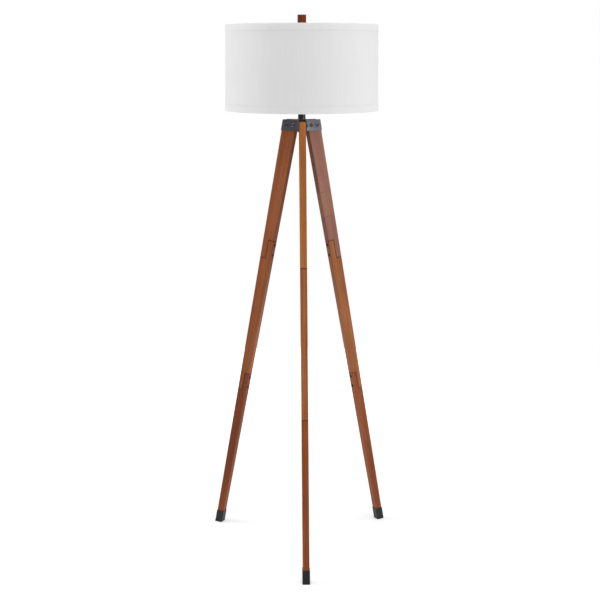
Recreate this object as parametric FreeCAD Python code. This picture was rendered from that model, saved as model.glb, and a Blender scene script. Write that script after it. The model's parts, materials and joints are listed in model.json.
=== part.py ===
"""Tripod floor lamp: three wood legs, a steel hub, and a fabric drum shade on a harp.

The floor is z = 0 and +Z is up.  The front leg points along -Y, and the other two lie
120 degrees to either side of it.  Lengths are in millimetres.  Each piece is built with
the lamp's axis on the Z axis and is moved along Y when it is saved, so that the origin is
at the middle of the whole lamp's bottom.
"""
import FreeCAD
import Part
import math
import os
from FreeCAD import Vector

# ---------------------------------------------------------------- driving sizes: tripod
HUB_TOP_Z = 1351.0          # top of the hub plates above the floor
HUB_HEIGHT = 33.5           # height of the hub plates
LEG_LEAN = 11.6             # degrees between a leg's middle line and the vertical
LEG_THICKNESS = 20.0        # across the narrow face
LEG_WIDTH_TOP = 45.5        # across the wide face at the hub
LEG_WIDTH_FOOT = 22.0       # across the wide face at the floor
LEG_TOP_DROP = 6.0          # wood stops this far below the top of the hub plates
LEG_EDGE_RADIUS = 1.5       # eased long edges and top end
LEG_SIDES = {"front": -90.0, "right": 30.0, "left": 150.0}
LEG_SPACING = 120.0         # degrees from one leg to the next

UPPER_LAP_AT = 968.7        # middle of each half-lap joint, measured up the leg
LOWER_LAP_AT = 517.8
LAP_LENGTH = 60.0
LAP_END_GAP = 0.3           # open line at each end of a lap

# joint screws: socket head cap screws in threaded inserts
SCREW_SPACING = 33.0
SCREW_R = 3.0
SCREW_HEAD_R = 5.0
SCREW_HEAD_H = 6.0
SCREW_KEY = 5.0             # across the flats of the hexagon socket
SCREW_SUNK = 0.8            # head lies this far under the wood's face
COUNTERBORE_R = 5.9
INSERT_R = 4.5
INSERT_LENGTH = 11.0
SCREW_PAST_SEAM = 9.0       # thread that reaches past the seam into the insert
THREAD_CLEARANCE = 0.05
HOLE_CLEARANCE = 0.3

# foot
PAD_THICKNESS = 4.0
CAP_TOP_Z = 41.0
CAP_WALL = 1.2
CAP_FLOOR = 2.5
CAP_CLEARANCE = 0.1
CAP_EDGE_RADIUS = 1.6
PAD_CHAMFER = 0.9
FOOT_SCREW_R = 2.0
FOOT_SCREW_HEAD_R = 4.2
FOOT_SCREW_LENGTH = 24.0
FOOT_SCREW_SUNK = 0.3       # head stops this far short of the cap's floor

# hub
PLATE_THICKNESS = 3.0
PLATE_CLEARANCE = 0.1       # between a plate and the leg's wide face
PLATE_BEND_RADIUS = 5.0     # outside of the bend between two wings
PLATE_PROUD = 0.3           # wing stands out past the leg's outer edge
WING_CORNER_RADIUS = 3.5
BOLT_RADII = (25.0, 46.0)   # the two bolts of a leg, from the lamp's axis
BOLT_R = 3.0
BOLT_HEAD_R = 6.2
BOLT_HEAD_H = 3.4
BOLT_KEY = 4.0
BOLT_KEY_FLOOR = 0.4        # share of the head's height that is left under the socket
BOLT_TIP = 5.0              # shank reaches this far past the leg's middle plane
BOLT_TIP_SPACE = 1.0
SLEEVE_NUT_R = 4.0
SLEEVE_NUT_SHORT = 0.5      # sleeve stops short of the far plate's face
BOLT_HEAD_SIDE = {"front": 1, "right": -1, "left": 1}
CORE_WALL = 0.95
CORE_RISE = 3.0             # core stands above the hub plates
WELD_WIDTH = 4.0
LEG_TO_CORE_GAP = 0.35

# ---------------------------------------------------------------- driving sizes: stem
STEM_R = 11.25
STEM_WALL = 1.5
STEM_ABOVE_HUB = 33.0
PIPE_R = 4.85
PIPE_BORE_R = 3.5
PIPE_CLEARANCE = 0.1
PIPE_BELOW_NECK = 1.0       # pipe stops this far under the top of the socket's neck
SLIP_CLEARANCE = 0.05       # radial clearance of one tube in another
STEM_RING_R = 12.6
STEM_RING_H = 3.0
STEM_RING_SPIGOT = 4.0
WASHER_MARGIN = 1.8         # bottom washer reaches this far past the hub's core
WASHER_H = 2.0
NUT_FLATS = 15.0
NUT_H = 6.0
PIPE_BELOW_NUT = 3.5
BUSHING_FLANGE_R = 5.4
BUSHING_FLANGE_H = 1.5
BUSHING_BARREL = 6.5
BUSHING_BORE_R = 3.0

# ---------------------------------------------------------------- driving sizes: socket
LOCK_WASHER_R = 8.0
LOCK_WASHER_H = 1.2
CAP_NECK_R = 7.5
CAP_NECK_H = 7.0
SOCKET_AIR = 2.12           # between the screw shell and the insulating sleeve
SOCKET_CAP_WALL = 0.7
SOCKET_DOME_H = 10.0
SOCKET_RIM_H = 5.0
SHOULDER_SPREAD = 0.8       # dome's knee, as shares of the cap's radius and dome's height
SHOULDER_RISE = 0.45
SET_SCREW_R = 1.6
SET_SCREW_PROUD = 1.5
SET_SCREW_SLOT = 0.6
SET_SCREW_SLOT_DEPTH = 0.7
SHELL_WALL = 0.5
SHELL_H = 47.0
SHELL_BEAD_R = 0.9
LINER_WALL = 0.6
LINER_SHORT = 2.0           # insulating sleeve stops under the shell's rim
BODY_GAP = 0.15             # radial gap round the moulded body
BODY_H = 15.0
BODY_ABOVE_SHELL_FOOT = 1.5
TERMINAL_FLAT = 11.0        # distance of the terminal flats from the axis
TERMINAL_HEAD_R = 3.2
TERMINAL_HEAD_H = 2.0
TERMINAL_SCREW_R = 1.55
TERMINAL_HOLE_R = 1.6
TERMINAL_ABOVE_BODY_FOOT = 4.0
TERMINAL_RECESS_RISE = 8.0
TERMINAL_STEM_START = 2.0
TERMINAL_SLOT = 0.9
TERMINAL_SLOT_DEPTH = 0.6
SCREW_SHELL_WALL = 0.5
SCREW_SHELL_H = 23.0
CONTACT_WIDTH = 6.0
CONTACT_SHEET = 0.5
CONTACT_RISE = 2.9
CONTACT_LIP = 1.5           # foot of the tongue reaches past its middle part
CONTACT_BEND = 1.0
RUNNING_CLEARANCE = 0.08    # radial clearance of every turning or sliding fit
SWITCH_SPINDLE_R = 2.5
SWITCH_ABOVE_BODY_FOOT = 8.0
SWITCH_BORE_DEPTH = 8.0
SPINDLE_END_GAP = 0.2
SWITCH_HOLE_CLEARANCE = 0.6 # round the spindle, in the shell and its sleeve
SWITCH_KNOB_R = 6.5
SWITCH_KNOB_LENGTH = 12.0
SWITCH_KNOB_GAP = 3.0       # between the shell and the knob's collar
SWITCH_COLLAR_R = 4.0
SWITCH_COLLAR_LENGTH = 4.0
KNOB_FLUTES = 10
KNOB_FLUTE_R = 1.2
KNOB_FLUTE_OUT = 0.5        # flute's middle line lies outside the knob
KNOB_CHAMFER = 0.8
KNOB_COLLAR_EDGE = 1.0      # plain band between the collar and the flutes

# ---------------------------------------------------------------- driving sizes: bulb
BULB_BASE_R = 13.0
BULB_BASE_WALL = 0.4
BULB_BASE_H = 20.0
THREAD_TURNS = 3
THREAD_PITCH = 3.6
THREAD_START = 4.0
THREAD_GROOVE_R = 1.0
THREAD_GROOVE_OUT = 0.75    # groove's middle line lies outside the base
BULB_TIP_R = 4.5
BULB_TIP_H = 1.5
BULB_INSULATOR_R = 11.0
BULB_INSULATOR_H = 3.0
BULB_R = 30.0
BULB_LENGTH = 108.0
BULB_NECK_CLEARANCE = 0.2   # of the glass inside its base
BULB_NECK_H = 13.0
BULB_IN_BASE = 6.0          # neck reaches this far down into the base
BULB_SHOULDER = 28.0        # degrees under the crown's middle where the cone meets it
BULB_WALL = 0.8
BULB_TO_CONTACT = 0.1

# ---------------------------------------------------------------- driving sizes: harp
HARP_HEIGHT = 227.1         # from the saddle's underside to the shade's seat
HARP_WIRE_R = 2.0
HARP_HALF_WIDTH = 57.0
HARP_TOP_RADIUS = 46.0
HARP_STRAIGHT = 30.0        # straight wire above the saddle posts
HARP_FLARE = 58.0           # height in which the wire swings out to its full width
SADDLE_SHEET = 1.6
SADDLE_WIDTH = 12.0
SADDLE_FLAT = 14.0
SADDLE_HALF_WIDTH = 29.0
SADDLE_RISE = 10.0
POST_HEIGHT = 8.0
FERRULE_R = 3.6
FERRULE_LENGTH = 14.0
FERRULE_REST_GAP = 0.3
HARP_PAD_R = 10.0
HARP_PAD_H = 2.5
STUD_R = 3.175
STUD_HEIGHT = 13.0
STUD_COLLAR_R = 8.5
STUD_COLLAR_H = 2.0
STUD_TAIL_R = 2.5
STUD_RIVET_R = 4.0
STUD_RIVET_H = 1.2

# ---------------------------------------------------------------- driving sizes: shade
SHADE_TOP_R = 225.0
SHADE_BOTTOM_R = 228.4
SHADE_HEIGHT = 248.0
SHADE_RECESS = 12.7         # the spider's washer lies this far below the rim
FABRIC_THICKNESS = 0.7
LINER_THICKNESS = 0.6
RING_WIRE_R = 2.0
RING_INSET = 3.0            # ring's middle line lies this far inside the rim
RING_GAP = 0.05
SPIDER_ARM_R = 1.6
SPIDER_WASHER_R = 14.0
SPIDER_WASHER_H = 1.2
SPIDER_ARM_START = 10.2
SPIDER_DROP_RUN = 16.0
SEAT_CLEARANCE = 0.1

# ---------------------------------------------------------------- driving sizes: finial
FINIAL_SQUARE = 24.6
FINIAL_HEIGHT = 40.0
FINIAL_EDGE = 0.8
FINIAL_BASE_R = 9.0
FINIAL_BASE_H = 5.0
FINIAL_INSERT_R = 5.0
FINIAL_INSERT_H = 11.0
FINIAL_BORE_SPARE = 1.0

# ---------------------------------------------------------------- sizes that follow
LEAN = math.radians(LEG_LEAN)
HUB_BOTTOM_Z = HUB_TOP_Z - HUB_HEIGHT
WOOD_TOP_Z = HUB_TOP_Z - LEG_TOP_DROP
WOOD_BOTTOM_Z = PAD_THICKNESS + CAP_FLOOR
LEG_LENGTH = WOOD_TOP_Z / math.cos(LEAN)
BOLT_Z = HUB_TOP_Z - HUB_HEIGHT / 2
CORE_R = STEM_R + CORE_WALL
WASHER_R = CORE_R + WASHER_MARGIN
PLATE_INSIDE = LEG_THICKNESS / 2 + PLATE_CLEARANCE
PLATE_OUTSIDE = PLATE_INSIDE + PLATE_THICKNESS

STEM_TOP_Z = HUB_TOP_Z + STEM_ABOVE_HUB
SADDLE_Z = STEM_TOP_Z + STEM_RING_H
LOCK_WASHER_Z = SADDLE_Z + SADDLE_SHEET
SOCKET_Z = LOCK_WASHER_Z + LOCK_WASHER_H
SCREW_SHELL_BORE = BULB_BASE_R + RUNNING_CLEARANCE
LINER_R = SCREW_SHELL_BORE + SCREW_SHELL_WALL + SOCKET_AIR + LINER_WALL
SHELL_R = LINER_R + SLIP_CLEARANCE + SHELL_WALL
SOCKET_CAP_R = SHELL_R + SLIP_CLEARANCE + SOCKET_CAP_WALL
BULB_NECK_R = BULB_BASE_R - BULB_BASE_WALL - BULB_NECK_CLEARANCE
PIPE_BOTTOM_Z = HUB_BOTTOM_Z - WASHER_H - NUT_H - PIPE_BELOW_NUT
PIPE_TOP_Z = SOCKET_Z + CAP_NECK_H - PIPE_BELOW_NECK
DOME_TOP_Z = SOCKET_Z + CAP_NECK_H + SOCKET_DOME_H
SHELL_Z = DOME_TOP_Z
BODY_Z = SHELL_Z + BODY_ABOVE_SHELL_FOOT
BODY_R = LINER_R - LINER_WALL - BODY_GAP
BODY_TOP_Z = BODY_Z + BODY_H
TERMINAL_Z = BODY_Z + TERMINAL_ABOVE_BODY_FOOT
SWITCH_Z = BODY_Z + SWITCH_ABOVE_BODY_FOOT
BULB_Z = BODY_TOP_Z + CONTACT_RISE + BULB_TO_CONTACT

POST_Z = SADDLE_Z + SADDLE_SHEET + SADDLE_RISE
POST_TOP_Z = POST_Z + POST_HEIGHT
SEAT_Z = SADDLE_Z + HARP_HEIGHT
PAD_TOP_Z = SEAT_Z - STUD_COLLAR_H
HARP_TOP_Z = PAD_TOP_Z - HARP_PAD_H / 2
SHADE_TOP_Z = SEAT_Z + SHADE_RECESS
SHADE_BOTTOM_Z = SHADE_TOP_Z - SHADE_HEIGHT
SPIDER_Z = SEAT_Z + SEAT_CLEARANCE
FINIAL_Z = SPIDER_Z + SPIDER_WASHER_H + SEAT_CLEARANCE

Z_AXIS = Vector(0, 0, 1)
OVERCUT = 1.0               # a cutting shape reaches this far past the face it cuts
TOUCH = 0.01                # an edge this near to a face lies on it


# ---------------------------------------------------------------- building helpers
def cylinder(radius, bottom, top, x=0.0, y=0.0):
    return Part.makeCylinder(radius, top - bottom, Vector(x, y, bottom))


def rod(radius, start, end):
    """A round bar between two points."""
    along = end - start
    return Part.makeCylinder(radius, along.Length, start, along)


def ring(outer, inner, bottom, top):
    return cylinder(outer, bottom, top).cut(cylinder(inner, bottom - OVERCUT, top + OVERCUT))


def hexagon(flats, start, end):
    """A hexagonal bar between two points."""
    along = end - start
    corner = flats / math.sqrt(3)
    turns = [math.radians(60 * i) for i in range(7)]
    points = [Vector(corner * math.cos(a), corner * math.sin(a), 0) for a in turns]
    bar = Part.Face(Part.makePolygon(points)).extrude(Vector(0, 0, along.Length))
    bar.Placement = FreeCAD.Placement(start, FreeCAD.Rotation(Z_AXIS, along))
    return bar


def turned(points):
    """A solid of revolution about the lamp's axis, from (radius, z) points."""
    outline = [Vector(r, 0, z) for r, z in points]
    face = Part.Face(Part.makePolygon(outline + outline[:1]))
    return face.revolve(Vector(0, 0, 0), Z_AXIS, 360)


def slab(points, half_thickness, middle=0.0):
    """A plate in a leg's radial plane, from (radius, z) points."""
    outline = [Vector(r, middle - half_thickness, z) for r, z in points]
    face = Part.Face(Part.makePolygon(outline + outline[:1]))
    return face.extrude(Vector(0, 2 * half_thickness, 0))


def fused(shapes):
    shapes = list(shapes)
    whole = shapes[0].multiFuse(shapes[1:]) if len(shapes) > 1 else shapes[0]
    return whole.removeSplitter()


def swung(shape, degrees):
    """A copy turned about the lamp's axis."""
    copy = shape.copy()
    copy.rotate(Vector(0, 0, 0), Z_AXIS, degrees)
    return copy


# ---------------------------------------------------------------- leg geometry
def half_width(up):
    """Half of the wide face's width, at a distance up the leg from the floor."""
    grown = (LEG_WIDTH_TOP - LEG_WIDTH_FOOT) * up / LEG_LENGTH
    return (LEG_WIDTH_FOOT + grown) / 2


def foot_centre_radius():
    """Radius of the leg's middle line at the floor.

    The inner edge clears the hub's core by LEG_TO_CORE_GAP where the wood ends."""
    taper = (LEG_WIDTH_TOP - LEG_WIDTH_FOOT) / LEG_LENGTH / 2
    rise = WOOD_TOP_Z + half_width(0) * math.sin(LEAN)
    up = rise / (math.cos(LEAN) - taper * math.sin(LEAN))
    reach = up * math.sin(LEAN) + half_width(up) * math.cos(LEAN)
    return CORE_R + LEG_TO_CORE_GAP + reach


FOOT_CENTRE_R = foot_centre_radius()


def on_leg(up, out):
    """(radius, z) of a point given along and across the leg's middle line."""
    radius = FOOT_CENTRE_R - up * math.sin(LEAN) + out * math.cos(LEAN)
    return radius, up * math.cos(LEAN) + out * math.sin(LEAN)


def edge_radius(z, side, grow=0.0):
    """Radius of the leg's outer (side = 1) or inner (side = -1) edge at a height."""
    r0, z0 = on_leg(0, side * (half_width(0) + grow))
    r1, z1 = on_leg(LEG_LENGTH, side * (half_width(LEG_LENGTH) + grow))
    return r0 + (r1 - r0) * (z - z0) / (z1 - z0)


def leg_outline(bottom, top, grow=0.0):
    return [
        (edge_radius(bottom, -1, grow), bottom),
        (edge_radius(bottom, 1, grow), bottom),
        (edge_radius(top, 1, grow), top),
        (edge_radius(top, -1, grow), top),
    ]


def leg_vector(up, out):
    radius, z = on_leg(up, out)
    return Vector(radius, 0, z)


def lap_screw_places():
    for lap in (UPPER_LAP_AT, LOWER_LAP_AT):
        for side in (-0.5, 0.5):
            yield lap, lap + side * SCREW_SPACING


# ---------------------------------------------------------------- legs
def long_edges(blank, bottom):
    """Every edge of the blank except those of its bottom end."""
    return [e for e in blank.Edges if e.BoundBox.ZMax > bottom + TOUCH]


def leg_blank():
    """The whole leg, before it is divided into its three sections."""
    blank = slab(leg_outline(WOOD_BOTTOM_Z, WOOD_TOP_Z), LEG_THICKNESS / 2)
    blank = blank.makeFillet(LEG_EDGE_RADIUS, long_edges(blank, WOOD_BOTTOM_Z))
    reach = LEG_THICKNESS
    for radius in BOLT_RADII:
        hole_r = SLEEVE_NUT_R + PLATE_CLEARANCE
        start = Vector(radius, -reach, BOLT_Z)
        blank = blank.cut(rod(hole_r, start, Vector(radius, reach, BOLT_Z)))
    for _, up in lap_screw_places():
        face = -half_width(up)
        sink = face + SCREW_SUNK + SCREW_HEAD_H
        outside = face - SCREW_HEAD_H
        blank = blank.cut(rod(COUNTERBORE_R, leg_vector(up, outside), leg_vector(up, sink)))
        shank = SCREW_R + HOLE_CLEARANCE
        blank = blank.cut(rod(shank, leg_vector(up, face), leg_vector(up, 0)))
        deep = leg_vector(up, INSERT_LENGTH + OVERCUT)
        blank = blank.cut(rod(INSERT_R, leg_vector(up, 0), deep))
    middle_r = FOOT_CENTRE_R - WOOD_BOTTOM_Z * math.tan(LEAN)
    pilot_top = WOOD_BOTTOM_Z + FOOT_SCREW_LENGTH
    return blank.cut(cylinder(FOOT_SCREW_R, WOOD_BOTTOM_Z - OVERCUT, pilot_top, x=middle_r))


def section_region(low_lap, high_lap):
    """What one section keeps of the blank: an outer tongue below, an inner one above.

    A lap of None means that the section runs to the end of the leg there."""
    wide = 2 * LEG_WIDTH_TOP
    half_lap = LAP_LENGTH / 2
    gap = LAP_END_GAP / 2
    if low_lap is None:
        low = [(-LEG_WIDTH_TOP, -wide), (-LEG_WIDTH_TOP, wide)]
    else:
        inner = low_lap + half_lap + gap
        outer = low_lap - half_lap + gap
        low = [(inner, -wide), (inner, 0), (outer, 0), (outer, wide)]
    if high_lap is None:
        end = LEG_LENGTH + LEG_WIDTH_TOP
        high = [(end, wide), (end, -wide)]
    else:
        inner = high_lap + half_lap - gap
        outer = high_lap - half_lap - gap
        high = [(outer, wide), (outer, 0), (inner, 0), (inner, -wide)]
    return slab([on_leg(up, out) for up, out in low + high], LEG_THICKNESS)


def leg_sections():
    blank = leg_blank()
    laps = {
        "lower": (None, LOWER_LAP_AT),
        "middle": (LOWER_LAP_AT, UPPER_LAP_AT),
        "upper": (UPPER_LAP_AT, None),
    }
    return {name: blank.common(section_region(*ends)) for name, ends in laps.items()}


def joint_screw(lap, up):
    """Cap screw from the inner face, across the seam and into its insert."""
    head_face = -half_width(up) + SCREW_SUNK
    seat = head_face + SCREW_HEAD_H
    head = rod(SCREW_HEAD_R, leg_vector(up, head_face), leg_vector(up, seat))
    shank = rod(SCREW_R, leg_vector(up, seat), leg_vector(up, SCREW_PAST_SEAM))
    deep = head_face + SCREW_HEAD_H / 2
    socket = hexagon(SCREW_KEY, leg_vector(up, head_face - OVERCUT), leg_vector(up, deep))
    return fused([head, shank]).cut(socket)


def joint_insert(up):
    outside = rod(INSERT_R, leg_vector(up, 0), leg_vector(up, INSERT_LENGTH))
    bore = SCREW_R + THREAD_CLEARANCE
    start = leg_vector(up, -OVERCUT)
    return outside.cut(rod(bore, start, leg_vector(up, INSERT_LENGTH + OVERCUT)))


# ---------------------------------------------------------------- feet
def foot_cap():
    """Steel shoe: a wall round the leg's end, and a floor under it."""
    grow = CAP_CLEARANCE + CAP_WALL
    outside = slab(leg_outline(PAD_THICKNESS, CAP_TOP_Z, grow), LEG_THICKNESS / 2 + grow)
    upright = [e for e in outside.Edges if e.BoundBox.ZLength > CAP_FLOOR]
    outside = outside.makeFillet(CAP_EDGE_RADIUS, upright)
    pocket = slab(
        leg_outline(WOOD_BOTTOM_Z, CAP_TOP_Z + OVERCUT, CAP_CLEARANCE),
        LEG_THICKNESS / 2 + CAP_CLEARANCE,
    )
    return outside.cut(pocket).cut(foot_screw(HOLE_CLEARANCE))


def foot_pad():
    grow = CAP_CLEARANCE + CAP_WALL
    pad = slab(leg_outline(0, PAD_THICKNESS, grow), LEG_THICKNESS / 2 + grow)
    upright = [e for e in pad.Edges if e.BoundBox.ZLength > PAD_THICKNESS / 2]
    pad = pad.makeFillet(CAP_EDGE_RADIUS, upright)
    under = [e for e in pad.Edges if e.BoundBox.ZMax < TOUCH]
    return pad.makeChamfer(PAD_CHAMFER, under)


def foot_screw(grow=0.0):
    """Countersunk wood screw through the cap's floor, or the hole that it needs."""
    x = FOOT_CENTRE_R - WOOD_BOTTOM_Z * math.tan(LEAN)
    head_h = CAP_FLOOR - FOOT_SCREW_SUNK
    head_r = FOOT_SCREW_HEAD_R + grow
    shank_r = FOOT_SCREW_R + grow
    foot = Vector(x, 0, PAD_THICKNESS)
    head = Part.makeCone(head_r, shank_r, head_h, foot)
    top = WOOD_BOTTOM_Z + FOOT_SCREW_LENGTH
    shank = cylinder(shank_r, PAD_THICKNESS + head_h, top, x=x)
    return fused([head, shank])


# ---------------------------------------------------------------- hub
def wing_outline():
    """Side view of a wing: its outer end follows the leg and its top corner is round."""
    top_r = edge_radius(HUB_TOP_Z, 1, PLATE_PROUD)
    low_r = edge_radius(HUB_BOTTOM_Z, 1, PLATE_PROUD)
    reach = LEG_THICKNESS + PLATE_THICKNESS
    points = [(0, HUB_BOTTOM_Z), (low_r, HUB_BOTTOM_Z), (top_r, HUB_TOP_Z), (0, HUB_TOP_Z)]
    wing = slab(points, reach)
    corner = Vector(top_r, 0, HUB_TOP_Z)
    near = [e for e in wing.Edges if e.BoundBox.YLength > reach
            and (Vector(e.BoundBox.Center.x, 0, e.BoundBox.Center.z) - corner).Length < TOUCH]
    return wing.makeFillet(WING_CORNER_RADIUS, near)


def hub_plate(first_leg):
    """Bent plate in the 120 degrees between a leg and the next one round."""
    far = 2 * edge_radius(HUB_BOTTOM_Z, 1)
    bisector = math.radians(LEG_SPACING / 2)

    def corner(distance):
        length = distance / math.sin(bisector)
        return Vector(length * math.cos(bisector), length * math.sin(bisector), HUB_BOTTOM_Z)

    def next_leg(point):
        mirrored = Vector(point.x, -point.y, 0)
        turned_point = FreeCAD.Rotation(Z_AXIS, LEG_SPACING).multVec(mirrored)
        return Vector(turned_point.x, turned_point.y, HUB_BOTTOM_Z)

    end_inside = Vector(far, PLATE_INSIDE, HUB_BOTTOM_Z)
    end_outside = Vector(far, PLATE_OUTSIDE, HUB_BOTTOM_Z)
    outline = [end_inside, corner(PLATE_INSIDE), next_leg(end_inside),
               next_leg(end_outside), corner(PLATE_OUTSIDE), end_outside, end_inside]
    bent = Part.Face(Part.makePolygon(outline)).extrude(Vector(0, 0, HUB_HEIGHT))
    for distance, radius in ((PLATE_INSIDE, PLATE_BEND_RADIUS),
                             (PLATE_OUTSIDE, PLATE_BEND_RADIUS - PLATE_THICKNESS)):
        place = corner(distance)
        fold = [e for e in bent.Edges if e.BoundBox.ZLength > HUB_HEIGHT / 2
                and Vector(e.BoundBox.Center.x - place.x,
                           e.BoundBox.Center.y - place.y, 0).Length < TOUCH]
        bent = bent.makeFillet(radius, fold)
    wing = wing_outline()
    bent = bent.common(fused([wing, swung(wing, LEG_SPACING)]))
    bent = bent.cut(cylinder(CORE_R, HUB_BOTTOM_Z - OVERCUT, HUB_TOP_Z + OVERCUT))
    turns = (0, LEG_SPACING)
    holes = [swung(bolt_hole(radius), turn) for radius in BOLT_RADII for turn in turns]
    for hole in holes:
        bent = bent.cut(hole)
    return swung(bent, LEG_SIDES[first_leg])


def bolt_hole(radius):
    reach = 2 * LEG_THICKNESS
    hole_r = SLEEVE_NUT_R + PLATE_CLEARANCE
    return rod(hole_r, Vector(radius, -reach, BOLT_Z), Vector(radius, reach, BOLT_Z))


def button_head(radius, side):
    """Low domed head that lies on a wing, on the +1 or -1 side of the leg."""
    seat = side * PLATE_OUTSIDE
    dome_r = (BOLT_HEAD_R ** 2 + BOLT_HEAD_H ** 2) / (2 * BOLT_HEAD_H)
    middle = Vector(radius, seat + side * (BOLT_HEAD_H - dome_r), BOLT_Z)
    dome = Part.makeSphere(dome_r, middle)
    foot = Vector(radius, seat, BOLT_Z)
    return dome.common(rod(BOLT_HEAD_R, foot, foot + Vector(0, side * BOLT_HEAD_H, 0)))


def key_socket(radius, side):
    """The hexagonal recess in a head."""
    outer = side * PLATE_OUTSIDE
    tip = outer + side * (BOLT_HEAD_H + OVERCUT)
    floor = outer + side * BOLT_HEAD_H * BOLT_KEY_FLOOR
    return hexagon(BOLT_KEY, Vector(radius, tip, BOLT_Z), Vector(radius, floor, BOLT_Z))


def hub_bolt(radius, side):
    """Button head screw: its shank ends inside the sleeve nut."""
    outer = side * PLATE_OUTSIDE
    end = Vector(radius, -side * BOLT_TIP, BOLT_Z)
    shank = rod(BOLT_R, Vector(radius, outer, BOLT_Z), end)
    return fused([button_head(radius, side), shank]).cut(key_socket(radius, side))


def sleeve_nut(radius, side):
    """Barrel nut: a head on one wing, and a sleeve through the wood to the other."""
    outer = side * PLATE_OUTSIDE
    end = -side * (PLATE_OUTSIDE - SLEEVE_NUT_SHORT)
    sleeve = rod(SLEEVE_NUT_R, Vector(radius, outer, BOLT_Z), Vector(radius, end, BOLT_Z))
    bore_r = BOLT_R + THREAD_CLEARANCE
    deep = side * (BOLT_TIP + BOLT_TIP_SPACE)
    bore = rod(bore_r, Vector(radius, 2 * end, BOLT_Z), Vector(radius, deep, BOLT_Z))
    nut = fused([button_head(radius, side), sleeve]).cut(bore)
    return nut.cut(key_socket(radius, side))


def hub_core(plates):
    """Collar that holds the stem, with a weld to each bent plate."""
    top = HUB_TOP_Z + CORE_RISE
    collar = ring(CORE_R, STEM_R + SLIP_CLEARANCE, HUB_BOTTOM_Z, top)
    reach = PLATE_OUTSIDE / math.sin(math.radians(LEG_SPACING / 2))
    start = STEM_R + CORE_WALL / 2
    welds = []
    for angle in LEG_SIDES.values():
        weld = Part.makeBox(reach - start, WELD_WIDTH, HUB_HEIGHT,
                            Vector(start, -WELD_WIDTH / 2, HUB_BOTTOM_Z))
        welds.append(swung(weld, angle + LEG_SPACING / 2))
    core = fused([collar] + welds)
    for plate in plates:
        core = core.cut(plate)
    return max(core.Solids, key=lambda solid: solid.Volume)


# ---------------------------------------------------------------- stem
def stem_tube():
    return ring(STEM_R, STEM_R - STEM_WALL, HUB_BOTTOM_Z, STEM_TOP_Z)


def stem_ring():
    disc = cylinder(STEM_RING_R, STEM_TOP_Z, SADDLE_Z)
    spigot_r = STEM_R - STEM_WALL - SLIP_CLEARANCE
    spigot = cylinder(spigot_r, STEM_TOP_Z - STEM_RING_SPIGOT, STEM_TOP_Z)
    hole = cylinder(PIPE_R + PIPE_CLEARANCE, HUB_TOP_Z, SADDLE_Z + OVERCUT)
    return fused([disc, spigot]).cut(hole)


def lamp_pipe():
    return ring(PIPE_R, PIPE_BORE_R, PIPE_BOTTOM_Z, PIPE_TOP_Z)


def bottom_washer():
    hole_r = PIPE_R + PIPE_CLEARANCE
    return ring(WASHER_R, hole_r, HUB_BOTTOM_Z - WASHER_H, HUB_BOTTOM_Z)


def bottom_nut():
    top = HUB_BOTTOM_Z - WASHER_H
    nut = hexagon(NUT_FLATS, Vector(0, 0, top - NUT_H), Vector(0, 0, top))
    bore_r = PIPE_R + THREAD_CLEARANCE
    return nut.cut(cylinder(bore_r, top - NUT_H - OVERCUT, top + OVERCUT))


def cord_bushing():
    """Smooth plastic lining of the pipe's mouth, where a cord goes in."""
    flange_z = PIPE_BOTTOM_Z - BUSHING_FLANGE_H
    flange = cylinder(BUSHING_FLANGE_R, flange_z, PIPE_BOTTOM_Z)
    barrel_r = PIPE_BORE_R - SLIP_CLEARANCE
    barrel = cylinder(barrel_r, PIPE_BOTTOM_Z, PIPE_BOTTOM_Z + BUSHING_BARREL)
    bore_top = PIPE_BOTTOM_Z + BUSHING_BARREL + OVERCUT
    return fused([flange, barrel]).cut(cylinder(BUSHING_BORE_R, flange_z - OVERCUT, bore_top))


def lock_washer():
    hole_r = PIPE_R + PIPE_CLEARANCE
    return ring(LOCK_WASHER_R, hole_r, LOCK_WASHER_Z, SOCKET_Z)


# ---------------------------------------------------------------- lampholder
def socket_cap():
    """Pressed cap: a threaded neck, a dome and a straight rim."""
    neck_top = SOCKET_Z + CAP_NECK_H
    rim_top = DOME_TOP_Z + SOCKET_RIM_H
    wall = SOCKET_CAP_WALL
    bore = PIPE_R + THREAD_CLEARANCE
    shoulder = SOCKET_CAP_R * SHOULDER_SPREAD
    shoulder_z = neck_top + SOCKET_DOME_H * SHOULDER_RISE
    outside = [(bore, SOCKET_Z), (CAP_NECK_R, SOCKET_Z), (CAP_NECK_R, neck_top),
               (shoulder, shoulder_z), (SOCKET_CAP_R, DOME_TOP_Z), (SOCKET_CAP_R, rim_top)]
    inside = [(SOCKET_CAP_R - wall, rim_top), (SOCKET_CAP_R - wall, DOME_TOP_Z),
              (shoulder - wall, shoulder_z + wall),
              (CAP_NECK_R - wall, neck_top + wall), (bore, neck_top + wall)]
    cap = turned(outside + inside)
    return cap.cut(set_screw_hole())


def set_screw_hole():
    middle = SOCKET_Z + CAP_NECK_H / 2
    return rod(SET_SCREW_R, Vector(PIPE_R, 0, middle), Vector(2 * CAP_NECK_R, 0, middle))


def set_screw():
    """Small slotted screw in the cap's neck that locks it on the pipe."""
    middle = SOCKET_Z + CAP_NECK_H / 2
    start = Vector(PIPE_R + THREAD_CLEARANCE, 0, middle)
    tip = CAP_NECK_R + SET_SCREW_PROUD
    screw = rod(SET_SCREW_R - THREAD_CLEARANCE, start, Vector(tip, 0, middle))
    corner = Vector(tip - SET_SCREW_SLOT_DEPTH, -2 * SET_SCREW_R, middle - SET_SCREW_SLOT / 2)
    slot_depth = SET_SCREW_SLOT_DEPTH + OVERCUT
    return screw.cut(Part.makeBox(slot_depth, 4 * SET_SCREW_R, SET_SCREW_SLOT, corner))


def switch_hole():
    far = Vector(0, -2 * SOCKET_CAP_R, SWITCH_Z)
    return rod(SWITCH_SPINDLE_R + SWITCH_HOLE_CLEARANCE, Vector(0, 0, SWITCH_Z), far)


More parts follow.
